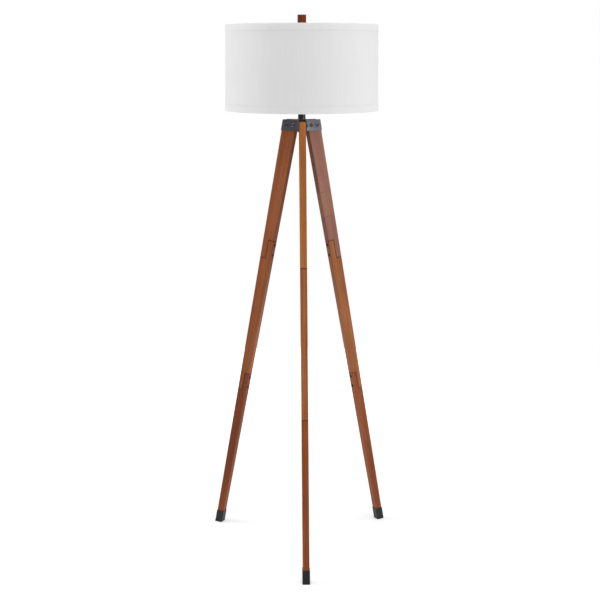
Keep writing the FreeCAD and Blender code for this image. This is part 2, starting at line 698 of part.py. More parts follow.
def socket_shell():
    top = SHELL_Z + SHELL_H
    shell = ring(SHELL_R, SHELL_R - SHELL_WALL, SHELL_Z, top)
    bead = Part.makeTorus(SHELL_R - SHELL_WALL + SHELL_BEAD_R, SHELL_BEAD_R,
                          Vector(0, 0, top - SHELL_BEAD_R))
    inside = cylinder(SHELL_R - SHELL_WALL, SHELL_Z - OVERCUT, top + OVERCUT)
    shell = fused([shell, bead.cut(inside)])
    return shell.cut(switch_hole())


def socket_liner():
    top = SHELL_Z + SHELL_H - LINER_SHORT
    liner = ring(LINER_R, LINER_R - LINER_WALL, SHELL_Z, top)
    return liner.cut(switch_hole())


def socket_body():
    """Moulded body with a flat on each side for a terminal screw."""
    body = cylinder(BODY_R, BODY_Z, BODY_TOP_Z)
    for side in (-1, 1):
        start = TERMINAL_FLAT if side > 0 else -2 * BODY_R
        recess_top = TERMINAL_Z + TERMINAL_RECESS_RISE
        recess = Part.makeBox(2 * BODY_R - TERMINAL_FLAT, 3 * TERMINAL_HEAD_R, BODY_H,
                              Vector(start, -1.5 * TERMINAL_HEAD_R, recess_top - BODY_H))
        far = Vector(side * BODY_R, 0, TERMINAL_Z)
        body = body.cut(recess).cut(rod(TERMINAL_HOLE_R, Vector(0, 0, TERMINAL_Z), far))
    spindle_end = Vector(0, -(BODY_R - SWITCH_BORE_DEPTH), SWITCH_Z)
    bore_r = SWITCH_SPINDLE_R + RUNNING_CLEARANCE
    return body.cut(rod(bore_r, spindle_end, Vector(0, -2 * BODY_R, SWITCH_Z)))


def terminal_screw(side):
    z = TERMINAL_Z
    face = side * TERMINAL_FLAT
    head_out = face + side * TERMINAL_HEAD_H
    head = rod(TERMINAL_HEAD_R, Vector(face, 0, z), Vector(head_out, 0, z))
    shank_start = Vector(side * TERMINAL_STEM_START, 0, z)
    shank = rod(TERMINAL_SCREW_R, shank_start, Vector(face, 0, z))
    depth = TERMINAL_SLOT_DEPTH
    slot = Part.makeBox(2 * depth, 4 * TERMINAL_HEAD_R, TERMINAL_SLOT,
                        Vector(head_out - depth, -2 * TERMINAL_HEAD_R, z - TERMINAL_SLOT / 2))
    return fused([head, shank]).cut(slot)


def screw_shell():
    """Threaded shell that takes the bulb's base, shown without its thread."""
    outer = SCREW_SHELL_BORE + SCREW_SHELL_WALL
    tube = ring(outer, SCREW_SHELL_BORE, BODY_TOP_Z, BODY_TOP_Z + SCREW_SHELL_H)
    floor = ring(outer, CONTACT_WIDTH, BODY_TOP_Z, BODY_TOP_Z + SCREW_SHELL_WALL)
    return fused([tube, floor])


def centre_contact():
    """Springy tongue that touches the tip of the bulb."""
    half = CONTACT_WIDTH / 2 + CONTACT_LIP
    top = BODY_TOP_Z + CONTACT_RISE
    sheet = CONTACT_SHEET
    bend = CONTACT_BEND
    points = [(-half, BODY_TOP_Z), (half, BODY_TOP_Z), (half, BODY_TOP_Z + sheet),
              (bend - half, BODY_TOP_Z + sheet), (2 * bend - half, top - sheet),
              (half, top - sheet), (half, top), (1.5 * bend - half, top),
              (-half, BODY_TOP_Z + sheet)]
    return slab(points, CONTACT_WIDTH / 3)


def switch_spindle():
    start = -(BODY_R - SWITCH_BORE_DEPTH) - SPINDLE_END_GAP
    end = -(SHELL_R + SWITCH_KNOB_GAP + SWITCH_COLLAR_LENGTH + SWITCH_KNOB_LENGTH / 2)
    return rod(SWITCH_SPINDLE_R, Vector(0, start, SWITCH_Z), Vector(0, end, SWITCH_Z))


def switch_knob():
    """Fluted turn knob with a short collar."""
    near = -(SHELL_R + SWITCH_KNOB_GAP)
    grip = near - SWITCH_COLLAR_LENGTH
    end = grip - SWITCH_KNOB_LENGTH
    collar = rod(SWITCH_COLLAR_R, Vector(0, near, SWITCH_Z), Vector(0, grip, SWITCH_Z))
    knob = rod(SWITCH_KNOB_R, Vector(0, grip, SWITCH_Z), Vector(0, end, SWITCH_Z))
    knob = knob.makeChamfer(KNOB_CHAMFER, [e for e in knob.Edges if e.BoundBox.YMax < end + TOUCH])
    flute_at = SWITCH_KNOB_R + KNOB_FLUTE_OUT
    for i in range(KNOB_FLUTES):
        turn = math.radians(360 / KNOB_FLUTES * i)
        x = flute_at * math.cos(turn)
        z = SWITCH_Z + flute_at * math.sin(turn)
        start = Vector(x, grip - KNOB_COLLAR_EDGE, z)
        knob = knob.cut(rod(KNOB_FLUTE_R, start, Vector(x, end - OVERCUT, z)))
    return fused([collar, knob]).cut(switch_spindle())


# ---------------------------------------------------------------- bulb
def bulb_tip():
    return cylinder(BULB_TIP_R, BULB_Z, BULB_Z + BULB_TIP_H)


def bulb_insulator():
    low = BULB_Z + BULB_TIP_H
    return Part.makeCone(BULB_TIP_R, BULB_INSULATOR_R, BULB_INSULATOR_H, Vector(0, 0, low))


def bulb_base():
    """Screw base with three rounded turns of its thread."""
    low = BULB_Z + BULB_TIP_H + BULB_INSULATOR_H
    cup = ring(BULB_BASE_R, BULB_BASE_R - BULB_BASE_WALL, low, low + BULB_BASE_H)
    floor = cylinder(BULB_BASE_R, low, low + BULB_BASE_WALL)
    cup = fused([cup, floor])
    groove_at = BULB_BASE_R + THREAD_GROOVE_OUT
    for turn in range(THREAD_TURNS):
        z = low + THREAD_START + THREAD_PITCH * turn
        cup = cup.cut(Part.makeTorus(groove_at, THREAD_GROOVE_R, Vector(0, 0, z)))
    return cup


def bulb_glass():
    """Pear-shaped glass: a neck in the base, a cone and a round crown."""
    base_top = BULB_Z + BULB_TIP_H + BULB_INSULATOR_H + BULB_BASE_H
    foot = base_top - BULB_IN_BASE
    neck_top = base_top + BULB_NECK_H
    crown_z = BULB_Z + BULB_LENGTH - BULB_R

    def pear(inset):
        neck = BULB_NECK_R - inset
        crown = BULB_R - inset
        lean = math.radians(-BULB_SHOULDER)
        tangent = Vector(crown * math.cos(lean), 0, crown_z + crown * math.sin(lean))
        side = Vector(crown, 0, crown_z)
        top = Vector(0, 0, crown_z + crown)
        edges = [
            Part.LineSegment(Vector(0, 0, foot), Vector(neck, 0, foot)).toShape(),
            Part.LineSegment(Vector(neck, 0, foot), Vector(neck, 0, neck_top)).toShape(),
            Part.LineSegment(Vector(neck, 0, neck_top), tangent).toShape(),
            Part.Arc(tangent, side, top).toShape(),
            Part.LineSegment(top, Vector(0, 0, foot)).toShape(),
        ]
        return Part.Face(Part.Wire(edges)).revolve(Vector(0, 0, 0), Z_AXIS, 360)

    mouth = cylinder(BULB_NECK_R - BULB_WALL, foot - OVERCUT, foot + OVERCUT)
    return pear(0.0).cut(pear(BULB_WALL)).cut(mouth)


# ---------------------------------------------------------------- harp
def harp_path():
    """Middle line of the bow: straight, a flare each side, and round shoulders."""
    low = POST_TOP_Z
    flare_low = low + HARP_STRAIGHT
    flare_high = flare_low + HARP_FLARE
    shoulder = HARP_TOP_Z - HARP_TOP_RADIUS
    flare_mid_x = (SADDLE_HALF_WIDTH + HARP_HALF_WIDTH) / 2
    flare_mid_z = (flare_low + flare_high) / 2
    run = HARP_HALF_WIDTH - SADDLE_HALF_WIDTH
    chord = math.hypot(run / 2, HARP_FLARE / 2)
    bend = chord ** 2 / run
    swing = math.asin(HARP_FLARE / 2 / bend) / 2
    low_x = SADDLE_HALF_WIDTH + bend * (1 - math.cos(swing))
    low_z = flare_low + bend * math.sin(swing)
    high_x = HARP_HALF_WIDTH - bend * (1 - math.cos(swing))
    high_z = flare_high - bend * math.sin(swing)
    turn = HARP_TOP_RADIUS * math.sqrt(0.5)
    top_x = HARP_HALF_WIDTH - HARP_TOP_RADIUS

    def half(side):
        def at(x, z):
            return Vector(side * x, 0, z)
        return [
            Part.LineSegment(at(SADDLE_HALF_WIDTH, low), at(SADDLE_HALF_WIDTH, flare_low)),
            Part.Arc(at(SADDLE_HALF_WIDTH, flare_low), at(low_x, low_z),
                     at(flare_mid_x, flare_mid_z)),
            Part.Arc(at(flare_mid_x, flare_mid_z), at(high_x, high_z),
                     at(HARP_HALF_WIDTH, flare_high)),
            Part.LineSegment(at(HARP_HALF_WIDTH, flare_high), at(HARP_HALF_WIDTH, shoulder)),
            Part.Arc(at(HARP_HALF_WIDTH, shoulder), at(top_x + turn, shoulder + turn),
                     at(top_x, HARP_TOP_Z)),
            Part.LineSegment(at(top_x, HARP_TOP_Z), at(0, HARP_TOP_Z)),
        ]

    edges = [line.toShape() for line in half(1) + half(-1)]
    return Part.Wire(Part.__sortEdges__(edges))


def harp_wire():
    """Bow of round wire, flattened at the top where the stud is riveted through it."""
    start = Vector(SADDLE_HALF_WIDTH, 0, POST_TOP_Z)
    section = Part.Wire([Part.Circle(start, Z_AXIS, HARP_WIRE_R).toShape()])
    bow = harp_path().makePipeShell([section], True, False)
    bow = bow.cut(cylinder(HARP_PAD_R, HARP_TOP_Z - HARP_PAD_R, HARP_TOP_Z + HARP_PAD_R))
    pad_low = PAD_TOP_Z - HARP_PAD_H
    pad = ring(HARP_PAD_R, STUD_TAIL_R + SLIP_CLEARANCE, pad_low, PAD_TOP_Z)
    return fused([bow, pad])


def harp_stud():
    """Threaded stud on a collar, riveted under the bow's flat."""
    pad_low = PAD_TOP_Z - HARP_PAD_H
    return fused([
        cylinder(STUD_COLLAR_R, PAD_TOP_Z, SEAT_Z),
        cylinder(STUD_R, SEAT_Z, SEAT_Z + STUD_HEIGHT),
        cylinder(STUD_TAIL_R, pad_low, PAD_TOP_Z),
        cylinder(STUD_RIVET_R, pad_low - STUD_RIVET_H, pad_low),
    ])


def harp_saddle():
    """Bent strap under the lampholder, with a round post on the end of each arm."""
    sheet = SADDLE_SHEET
    parts = [Part.makeBox(2 * SADDLE_FLAT, SADDLE_WIDTH, sheet,
                          Vector(-SADDLE_FLAT, -SADDLE_WIDTH / 2, SADDLE_Z))]
    end = SADDLE_HALF_WIDTH + HARP_WIRE_R
    for side in (-1, 1):
        arm = [(side * x, z) for x, z in (
            (SADDLE_FLAT, SADDLE_Z), (end, SADDLE_Z + SADDLE_RISE),
            (end, POST_Z), (SADDLE_HALF_WIDTH - HARP_WIRE_R, POST_Z),
            (SADDLE_FLAT - sheet / 2, SADDLE_Z + sheet))]
        parts.append(slab(arm, SADDLE_WIDTH / 2))
        parts.append(cylinder(HARP_WIRE_R, POST_Z - sheet, POST_TOP_Z,
                              x=side * SADDLE_HALF_WIDTH))
    hole_top = SADDLE_Z + sheet + OVERCUT
    hole = cylinder(PIPE_R + PIPE_CLEARANCE, SADDLE_Z - OVERCUT, hole_top)
    return fused(parts).cut(hole)


def harp_ferrule(side):
    """Sleeve that locks the bow to the saddle's post and slides up to free it."""
    low = POST_Z + FERRULE_REST_GAP
    sleeve = ring(FERRULE_R, HARP_WIRE_R + RUNNING_CLEARANCE, low, low + FERRULE_LENGTH)
    sleeve.translate(Vector(side * SADDLE_HALF_WIDTH, 0, 0))
    return sleeve


# ---------------------------------------------------------------- shade
def shade_wall(outset, thickness):
    """Conical wall whose outside lies outset inside the fabric's face."""
    top_r = SHADE_TOP_R - outset
    low_r = SHADE_BOTTOM_R - outset
    return turned([(low_r, SHADE_BOTTOM_Z), (top_r, SHADE_TOP_Z),
                   (top_r - thickness, SHADE_TOP_Z), (low_r - thickness, SHADE_BOTTOM_Z)])


def ring_radius(z, wire_r):
    """Middle radius of a ring that lies inside the liner at a height."""
    share = (z - SHADE_BOTTOM_Z) / SHADE_HEIGHT
    face = SHADE_BOTTOM_R + (SHADE_TOP_R - SHADE_BOTTOM_R) * share
    return face - FABRIC_THICKNESS - LINER_THICKNESS - RING_GAP - wire_r


def shade_spider():
    """Top ring, three arms and the washer that sits on the harp: one welded piece."""
    z = SHADE_TOP_Z - RING_INSET
    radius = ring_radius(z, RING_WIRE_R)
    arm_z = SPIDER_Z + SPIDER_ARM_R
    washer_top = SPIDER_Z + SPIDER_WASHER_H
    parts = [Part.makeTorus(radius, RING_WIRE_R, Vector(0, 0, z)),
             cylinder(SPIDER_WASHER_R, SPIDER_Z, washer_top)]
    for angle in LEG_SIDES.values():
        start = Vector(SPIDER_ARM_START, 0, arm_z)
        knee = Vector(radius - SPIDER_DROP_RUN, 0, arm_z)
        arm = [rod(SPIDER_ARM_R, start, knee), Part.makeSphere(SPIDER_ARM_R, knee),
               rod(SPIDER_ARM_R, knee, Vector(radius, 0, z))]
        parts += [swung(piece, angle + LEG_SPACING / 2) for piece in arm]
    hole_r = STUD_R + RUNNING_CLEARANCE
    return fused(parts).cut(cylinder(hole_r, SPIDER_Z - OVERCUT, washer_top + OVERCUT))


def shade_bottom_ring():
    z = SHADE_BOTTOM_Z + RING_INSET
    return Part.makeTorus(ring_radius(z, RING_WIRE_R), RING_WIRE_R, Vector(0, 0, z))


# ---------------------------------------------------------------- finial
def finial_base():
    """Metal foot with a threaded insert that goes up into the wood block."""
    low = FINIAL_Z
    base = cylinder(FINIAL_BASE_R, low, low + FINIAL_BASE_H)
    insert_top = low + FINIAL_BASE_H + FINIAL_INSERT_H
    insert = cylinder(FINIAL_INSERT_R, low, insert_top)
    bore_top = SEAT_Z + STUD_HEIGHT + FINIAL_BORE_SPARE
    bore = cylinder(STUD_R + RUNNING_CLEARANCE, low - OVERCUT, bore_top)
    return fused([base, insert]).cut(bore)


def finial_block():
    low = FINIAL_Z + FINIAL_BASE_H
    height = FINIAL_HEIGHT - FINIAL_BASE_H
    half = FINIAL_SQUARE / 2
    block = Part.makeBox(FINIAL_SQUARE, FINIAL_SQUARE, height, Vector(-half, -half, low))
    block = block.makeChamfer(FINIAL_EDGE, block.Edges)
    return block.cut(cylinder(FINIAL_INSERT_R, low - OVERCUT, low + FINIAL_INSERT_H))


# ---------------------------------------------------------------- the whole lamp
def leg_nodes():
    nodes = {}
    sections = leg_sections()
    cap = foot_cap()
    pad = foot_pad()
    for side, angle in LEG_SIDES.items():
        for name, section in sections.items():
            nodes[f"{side}_leg_{name}"] = swung(section, angle)
        nodes[f"{side}_foot_cap"] = swung(cap, angle)
        nodes[f"{side}_foot_pad"] = swung(pad, angle)
    return nodes


def on_each_leg(shapes):
    return Part.makeCompound([swung(s, a) for a in LEG_SIDES.values() for s in shapes])


def fastener_nodes():
    nodes = {"foot_screws": on_each_leg([foot_screw()])}
    for name, at in (("upper_joint_screws", UPPER_LAP_AT), ("lower_joint_screws", LOWER_LAP_AT)):
        nodes[name] = on_each_leg([joint_screw(lap, up) for lap, up in lap_screw_places()
                                   if lap == at])
    nodes["joint_inserts"] = on_each_leg([joint_insert(up) for _, up in lap_screw_places()])
    bolts = []
    nuts = []
    for leg, angle in LEG_SIDES.items():
        side = BOLT_HEAD_SIDE[leg]
        bolts += [swung(hub_bolt(radius, side), angle) for radius in BOLT_RADII]
        nuts += [swung(sleeve_nut(radius, -side), angle) for radius in BOLT_RADII]
    nodes["hub_bolts"] = Part.makeCompound(bolts)
    nodes["hub_sleeve_nuts"] = Part.makeCompound(nuts)
    return nodes


def hub_nodes():
    plates = {
        "hub_plate_front_right": hub_plate("front"),
        "hub_plate_back": hub_plate("right"),
        "hub_plate_front_left": hub_plate("left"),
    }
    return {**plates, "hub_core": hub_core(plates.values())}


def stem_nodes():
    return {
        "stem_tube": stem_tube(),
        "stem_ring": stem_ring(),
        "lamp_pipe": lamp_pipe(),
        "bottom_washer": bottom_washer(),
        "bottom_nut": bottom_nut(),
        "cord_bushing": cord_bushing(),
        "lock_washer": lock_washer(),
    }


def lampholder_nodes():
    return {
        "socket_cap": socket_cap(),
        "cap_set_screw": set_screw(),
        "socket_shell": socket_shell(),
        "socket_liner": socket_liner(),
        "socket_body": socket_body(),
        "terminal_screws": Part.makeCompound([terminal_screw(-1), terminal_screw(1)]),
        "screw_shell": screw_shell(),
        "centre_contact": centre_contact(),
        "switch_spindle": switch_spindle(),
        "switch_knob": switch_knob(),
    }


def bulb_nodes():
    return {
        "bulb_tip": bulb_tip(),
        "bulb_insulator": bulb_insulator(),
        "bulb_base": bulb_base(),
        "bulb_glass": bulb_glass(),
    }


def harp_nodes():
    return {
        "harp_saddle": harp_saddle(),
        "harp_wire": harp_wire(),
        "harp_stud": harp_stud(),
        "harp_ferrule_left": harp_ferrule(-1),
        "harp_ferrule_right": harp_ferrule(1),
    }


def shade_nodes():
    return {
        "shade_fabric": shade_wall(0.0, FABRIC_THICKNESS),
        "shade_liner": shade_wall(FABRIC_THICKNESS, LINER_THICKNESS),
        "shade_spider": shade_spider(),
        "shade_bottom_ring": shade_bottom_ring(),
    }


def finial_nodes():
    return {"finial_base": finial_base(), "finial_block": finial_block()}


def axis_shift():
    """How far the lamp's axis lies behind the middle of its outline."""
    grow = CAP_CLEARANCE + CAP_WALL
    foot = edge_radius(0, 1, grow)
    back_foot = foot * math.sin(math.radians(LEG_SIDES["right"])) + LEG_THICKNESS
    return (max(foot, SHADE_BOTTOM_R) - max(SHADE_BOTTOM_R, SHADE_TOP_R, back_foot)) / 2


def main():
    os.makedirs("parts", exist_ok=True)
    nodes = {}
    for group in (leg_nodes, fastener_nodes, hub_nodes, stem_nodes, lampholder_nodes,
                  bulb_nodes, harp_nodes, shade_nodes, finial_nodes):
        nodes.update(group())
    shift = axis_shift()
    for name, shape in nodes.items():
        shape.translate(Vector(0, shift, 0))
        shape.exportStep(f"parts/{name}.step")
        box = shape.BoundBox
        print(f"{name}: {len(shape.Solids)} solids, valid {shape.isValid()}, "
              f"{shape.Volume / 1000:.2f} cm3, z {box.ZMin:.1f} to {box.ZMax:.1f}")
    foot_mid = (edge_radius(0, 1) + edge_radius(0, -1)) / 2
    print(f"{len(nodes)} nodes; the lamp's axis is at y = {shift:.3f}")
    print(f"foot: outer edge {edge_radius(0, 1):.2f}, middle {foot_mid:.2f} from the axis")
    print(f"seat {SEAT_Z:.2f}, shade {SHADE_BOTTOM_Z:.2f} to {SHADE_TOP_Z:.2f}, "
          f"switch {SWITCH_Z:.2f}, bulb from {BULB_Z:.2f}")


main()
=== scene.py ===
# %% [markdown]
# # A tripod floor lamp with a drum shade
#
# Three tapered legs of stained rubberwood stand in steel shoes and lean together into a
# steel hub. A stem rises from the hub, and on it sit a lampholder with its bulb, a wire
# bow called a harp, and a drum of white linen that hangs from the bow by a small finial.
#
# Every hard part comes in model.glb at its true size, in metres, with the floor at z = 0.
# This lesson keeps that frame. It sets up the studio, mixes one finish for each real
# material, and remodels the few parts that a plain solid can't show well: the sewn shade,
# and the parts whose knife-sharp corners would look like folded paper.

# %% Load the imported lamp
import bpy
import json
import math
from functools import partial
from mathutils import Matrix, Vector

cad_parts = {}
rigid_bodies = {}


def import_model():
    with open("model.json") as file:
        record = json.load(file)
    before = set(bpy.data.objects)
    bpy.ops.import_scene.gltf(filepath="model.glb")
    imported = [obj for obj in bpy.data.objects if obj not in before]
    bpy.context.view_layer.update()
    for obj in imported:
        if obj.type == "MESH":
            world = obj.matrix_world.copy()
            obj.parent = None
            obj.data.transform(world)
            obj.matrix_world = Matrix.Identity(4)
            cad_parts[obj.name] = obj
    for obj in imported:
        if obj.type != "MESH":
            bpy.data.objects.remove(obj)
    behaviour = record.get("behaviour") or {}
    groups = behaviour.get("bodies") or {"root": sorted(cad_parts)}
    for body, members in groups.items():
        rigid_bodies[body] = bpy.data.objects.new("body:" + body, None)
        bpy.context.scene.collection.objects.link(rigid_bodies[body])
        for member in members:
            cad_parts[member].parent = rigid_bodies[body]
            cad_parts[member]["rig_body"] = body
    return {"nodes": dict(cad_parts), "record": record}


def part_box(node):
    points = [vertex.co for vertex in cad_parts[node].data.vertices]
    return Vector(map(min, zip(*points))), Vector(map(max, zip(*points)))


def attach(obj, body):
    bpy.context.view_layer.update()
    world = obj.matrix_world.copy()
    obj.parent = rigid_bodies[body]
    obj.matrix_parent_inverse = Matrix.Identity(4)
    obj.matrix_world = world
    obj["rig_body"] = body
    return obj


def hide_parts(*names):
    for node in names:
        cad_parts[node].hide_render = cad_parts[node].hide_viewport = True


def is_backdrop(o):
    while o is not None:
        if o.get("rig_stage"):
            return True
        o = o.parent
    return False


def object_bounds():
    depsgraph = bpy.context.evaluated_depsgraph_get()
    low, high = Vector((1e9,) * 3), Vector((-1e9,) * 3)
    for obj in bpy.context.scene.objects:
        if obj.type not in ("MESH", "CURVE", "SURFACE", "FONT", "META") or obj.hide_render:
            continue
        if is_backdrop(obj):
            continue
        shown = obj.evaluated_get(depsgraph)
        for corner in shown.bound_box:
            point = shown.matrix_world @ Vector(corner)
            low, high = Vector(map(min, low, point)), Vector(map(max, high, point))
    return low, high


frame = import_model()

cad_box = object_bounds()
bpy.ops.object.select_all(action="DESELECT")

# %% [markdown]
# ## Where things are
#
# The stem is the lamp's backbone, so its middle line is the axis that everything else is
# measured from. A part's box tells where it is, which is safer than a number typed twice.

# %% The lamp's axis
MM = 0.001
low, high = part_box("stem_tube")
AXIS = Vector(((low.x + high.x) / 2, (low.y + high.y) / 2, 0))


def towards(bearing):
    """The level direction at a bearing, in degrees from the lamp's +X side."""
    turn = math.radians(bearing)
    return Vector((math.cos(turn), math.sin(turn), 0))


print("axis at", tuple(round(v, 4) for v in AXIS))

# %% [markdown]
# ## The camera
#
# A floor lamp is usually pictured from standing height, a little over three metres away,
# with the camera tipped down so that both the finial and the feet are in the frame. The
# tip shows in the legs, which draw together towards the floor. A moderately long lens
# keeps the drum's edges calm. The camera stands slightly left of the front leg.

# %% Place the camera
CAMERA_DISTANCE = 3.3755
CAMERA_HEIGHT = 1.5491
CAMERA_ASIDE = -0.0053
CAMERA_TURN = math.radians(2.406)
CAMERA_TILT = math.radians(12.565)
CAMERA_LENS = 66.83

ahead = Vector((math.sin(CAMERA_TURN), math.cos(CAMERA_TURN), 0))
aside = Vector((math.cos(CAMERA_TURN), -math.sin(CAMERA_TURN), 0))
stand = AXIS - ahead * CAMERA_DISTANCE + aside * CAMERA_ASIDE
stand.z = CAMERA_HEIGHT
bpy.ops.object.camera_add(
    location=stand, rotation=(math.pi / 2 - CAMERA_TILT, 0, -CAMERA_TURN))
camera = bpy.context.object
camera.name = "standing_camera"
camera.data.lens = CAMERA_LENS
bpy.context.scene.camera = camera
print("camera at", tuple(round(v, 3) for v in stand))

# %% [markdown]
# ## Colours
#
# Finishes are easiest to discuss as screen colours, so they are written as hex codes. The
# renderer adds light, which only works on linear values, and one function converts them.

# %% Hex colours
def linear(code, share=1.0):
    """The linear colour of a screen colour such as #8B5234, darkened or paled by a share."""
    screen = [int(code[i:i + 2], 16) / 255 for i in (1, 3, 5)]
    light = [c / 12.92 if c <= 0.04045 else ((c + 0.055) / 1.055) ** 2.4 for c in screen]
    return (*[min(1.0, c * share) for c in light], 1.0)


print("mid grey is", round(linear("#808080")[0], 3), "in linear light")

# %% [markdown]
# ## Nodes
#
# Every pattern on this lamp is worked out by a material's nodes. Most of them start from a
# point's place in the lamp, so they run right through a part without a seam. One function
# adds a node: its sockets are filled by name or in their order, each with a number, a
# colour or another node's output, and its options are given by name. It answers with one
# of the node's outputs, for the next node to use.
#
# Two sets of options come back again and again. A Map Range node brings a value from one
# range to another and no further, and the smooth kind eases in and out. A Mix node for
# colours takes its share in socket 0 and its colours in 6 and 7, and answers in output 2.

# %% Adding a node
def fill(node, sockets):
    """Sets a node's sockets to values, or links them to other nodes' outputs."""
    pairs = sockets.items() if isinstance(sockets, dict) else enumerate(sockets)
    for name, value in pairs:
        if isinstance(value, bpy.types.NodeSocket):
            node.id_data.links.new(value, node.inputs[name])
        else:
            node.inputs[name].default_value = value


def add_node(tree, kind, sockets=(), out=0, **options):
    """Adds a node with its options and sockets, and returns one of its outputs."""
    node = tree.nodes.new("ShaderNode" + kind)
    for name, value in options.items():
        setattr(node, name, value)
    fill(node, sockets)
    return node.outputs[out]


SMOOTH = {"interpolation_type": "SMOOTHSTEP"}
COLOURS = {"out": 2, "data_type": "RGBA"}


def new_finish(name, sockets):
    """A new material, its shader with the even values set, and add_node for its tree."""
    material = bpy.data.materials.new(name)
    material.use_nodes = True
    shader = material.node_tree.nodes["Principled BSDF"]
    fill(shader, sockets)
    return material, shader, partial(add_node, material.node_tree)


NOISE_SPREAD = (0.3, 0.7)      # nearly all values of a noise lie between these two
NOISE_MIDDLE = (0.35, 0.65)    # and most of them between these
print("nearly all of a noise runs from", NOISE_SPREAD[0], "to", NOISE_SPREAD[1])

# %% [markdown]
# ## The studio
#
# The lamp stands in a bright white cove. The world gives the even light from all round:
# its picture for the camera is plain white, and what lights the lamp is dimmer, as with a
# backdrop that is lit on its own.

# %% World light
WORLD_STRENGTH = 0.38
scene = bpy.context.scene
scene.view_settings.view_transform = "Standard"
world = bpy.data.worlds.new("white_cove")
scene.world = world
world.use_nodes = True
seen = add_node(world.node_tree, "LightPath", out="Is Camera Ray")
strength = add_node(world.node_tree, "MapRange", {
    "Value": seen, "To Min": WORLD_STRENGTH, "To Max": 1.0})
fill(world.node_tree.nodes["Background"], {"Color": (1, 1, 1, 1), "Strength": strength})
print("world at", WORLD_STRENGTH, "of the backdrop's white")

# %% [markdown]
# Five soft boxes shape the lamp. A big one hangs in front, overhead. The ones to the right
# and the left are stronger than the world's light, which is why the drum is palest at its
# sides. A small one behind brings out the finial and the back of the rim. The low strip
# stands in front on the right, where the hub's right wing mirrors it, so that one wing is
# pale and the other stays dark.

# %% Soft boxes
LAMP_MIDDLE = 0.9
SOFT_BOXES = {   # bearing in degrees; distance, height and size in metres; watts
    "top_box": (-90, 1.0, 3.5, (2.2, 2.0), 30),
    "right_box": (4, 2.6, 2.2, (1.3, 1.8), 14),
    "left_box": (170, 2.6, 2.2, (1.3, 1.8), 26),
    "back_box": (90, 2.0, 3.2, (1.8, 1.4), 6),
    "low_strip": (-30, 2.7, 0.98, (0.7, 0.85), 9.5),
}
for name, (bearing, distance, height, size, power) in SOFT_BOXES.items():
    place = AXIS + towards(bearing) * distance
    place.z = height
    aim = Vector((AXIS.x, AXIS.y, LAMP_MIDDLE)) - place
    bpy.ops.object.light_add(
        type="AREA", location=place, rotation=aim.to_track_quat("-Z", "Y").to_euler())
    light = bpy.context.object
    light.name = name
    light.data.shape = "RECTANGLE"
    light.data.size, light.data.size_y = size
    light.data.energy = power
print(len(SOFT_BOXES), "soft boxes aim at the lamp's middle,", LAMP_MIDDLE, "m up")

# %% [markdown]
# A round sheet of white card is the floor. Seen at a low angle it would turn grey towards
# its edge, because less light reaches it there, so it also glows a little, and more
# towards the edge, like a lit table. That keeps the feet's faint shadows near the middle.

# %% The floor
FLOOR_RADIUS = 2.4
GLOW_START = 0.7      # metres from the axis
GLOW_FULL = 1.9
GLOW_NEAR = 0.36      # strength of the glow
GLOW_FAR = 1.0
bpy.ops.mesh.primitive_circle_add(
    vertices=96, radius=FLOOR_RADIUS, fill_type="NGON", location=AXIS)
floor = bpy.context.object
floor.name = "studio_floor"
floor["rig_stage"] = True
card, shader, add = new_finish("white_card", {
    "Base Color": linear("#F2F2F2"), "Roughness": 0.9, "Emission Color": (1, 1, 1, 1)})
where = add("TexCoord", out="Object")
reach = add("VectorMath", [where], "Value", operation="LENGTH")
glow = add("MapRange", [reach, GLOW_START, GLOW_FULL, GLOW_NEAR, GLOW_FAR], **SMOOTH)
fill(shader, {"Emission Strength": glow})
floor.data.materials.append(card)
print("floor", 2 * FLOOR_RADIUS, "m across")

# %% [markdown]
# ## Stained rubberwood
#
# The legs are rubberwood, a pale, even hardwood that takes a reddish-brown stain and a
# satin lacquer. Each leg is three boards screwed together, and no two boards match.
#
# Wood grain runs along the board, and the boards lean inwards, so a Mapping node first
# turns the lamp's coordinates into the board's own: X across its wide face, Y through its
# thickness, and Z up along it. The grain is then stretched along Z alone.

# %% Board coordinates
LEG_BEARINGS = {"front": -90, "right": 30, "left": 150}
LEG_LEAN = math.radians(11.6)
FOOT_RADIUS = 311.9 * MM       # where a leg's middle line would meet the floor


def board_frame(bearing):
    """The turn and shift that bring a leg's middle line to z, from its foot."""
    upright = (Matrix.Rotation(LEG_LEAN, 3, "Y")
               @ Matrix.Rotation(-math.radians(bearing), 3, "Z"))
    foot = AXIS + towards(bearing) * FOOT_RADIUS
    return upright.to_euler("XYZ"), -(upright @ foot)


for side, bearing in LEG_BEARINGS.items():
    print(side, "board turned by", tuple(round(v, 3) for v in board_frame(bearing)[0]))

# %% [markdown]
# ### The wood's figure
#
# Up close rubberwood shows short dark pores, fine fibres and faint growth lines a few
# millimetres apart. From across a room only broad streaks show, where the stain took more
# or less, and the whole board drifts a little in tone. Each is a noise of its own width,
# stretched along the board. It fades in from one level of the noise to another: the lower
# the first level, the more of the board it covers. The growth lines are the exception.
# They are rings round the tree's heart, so a Wave texture draws them, bent by distortion.

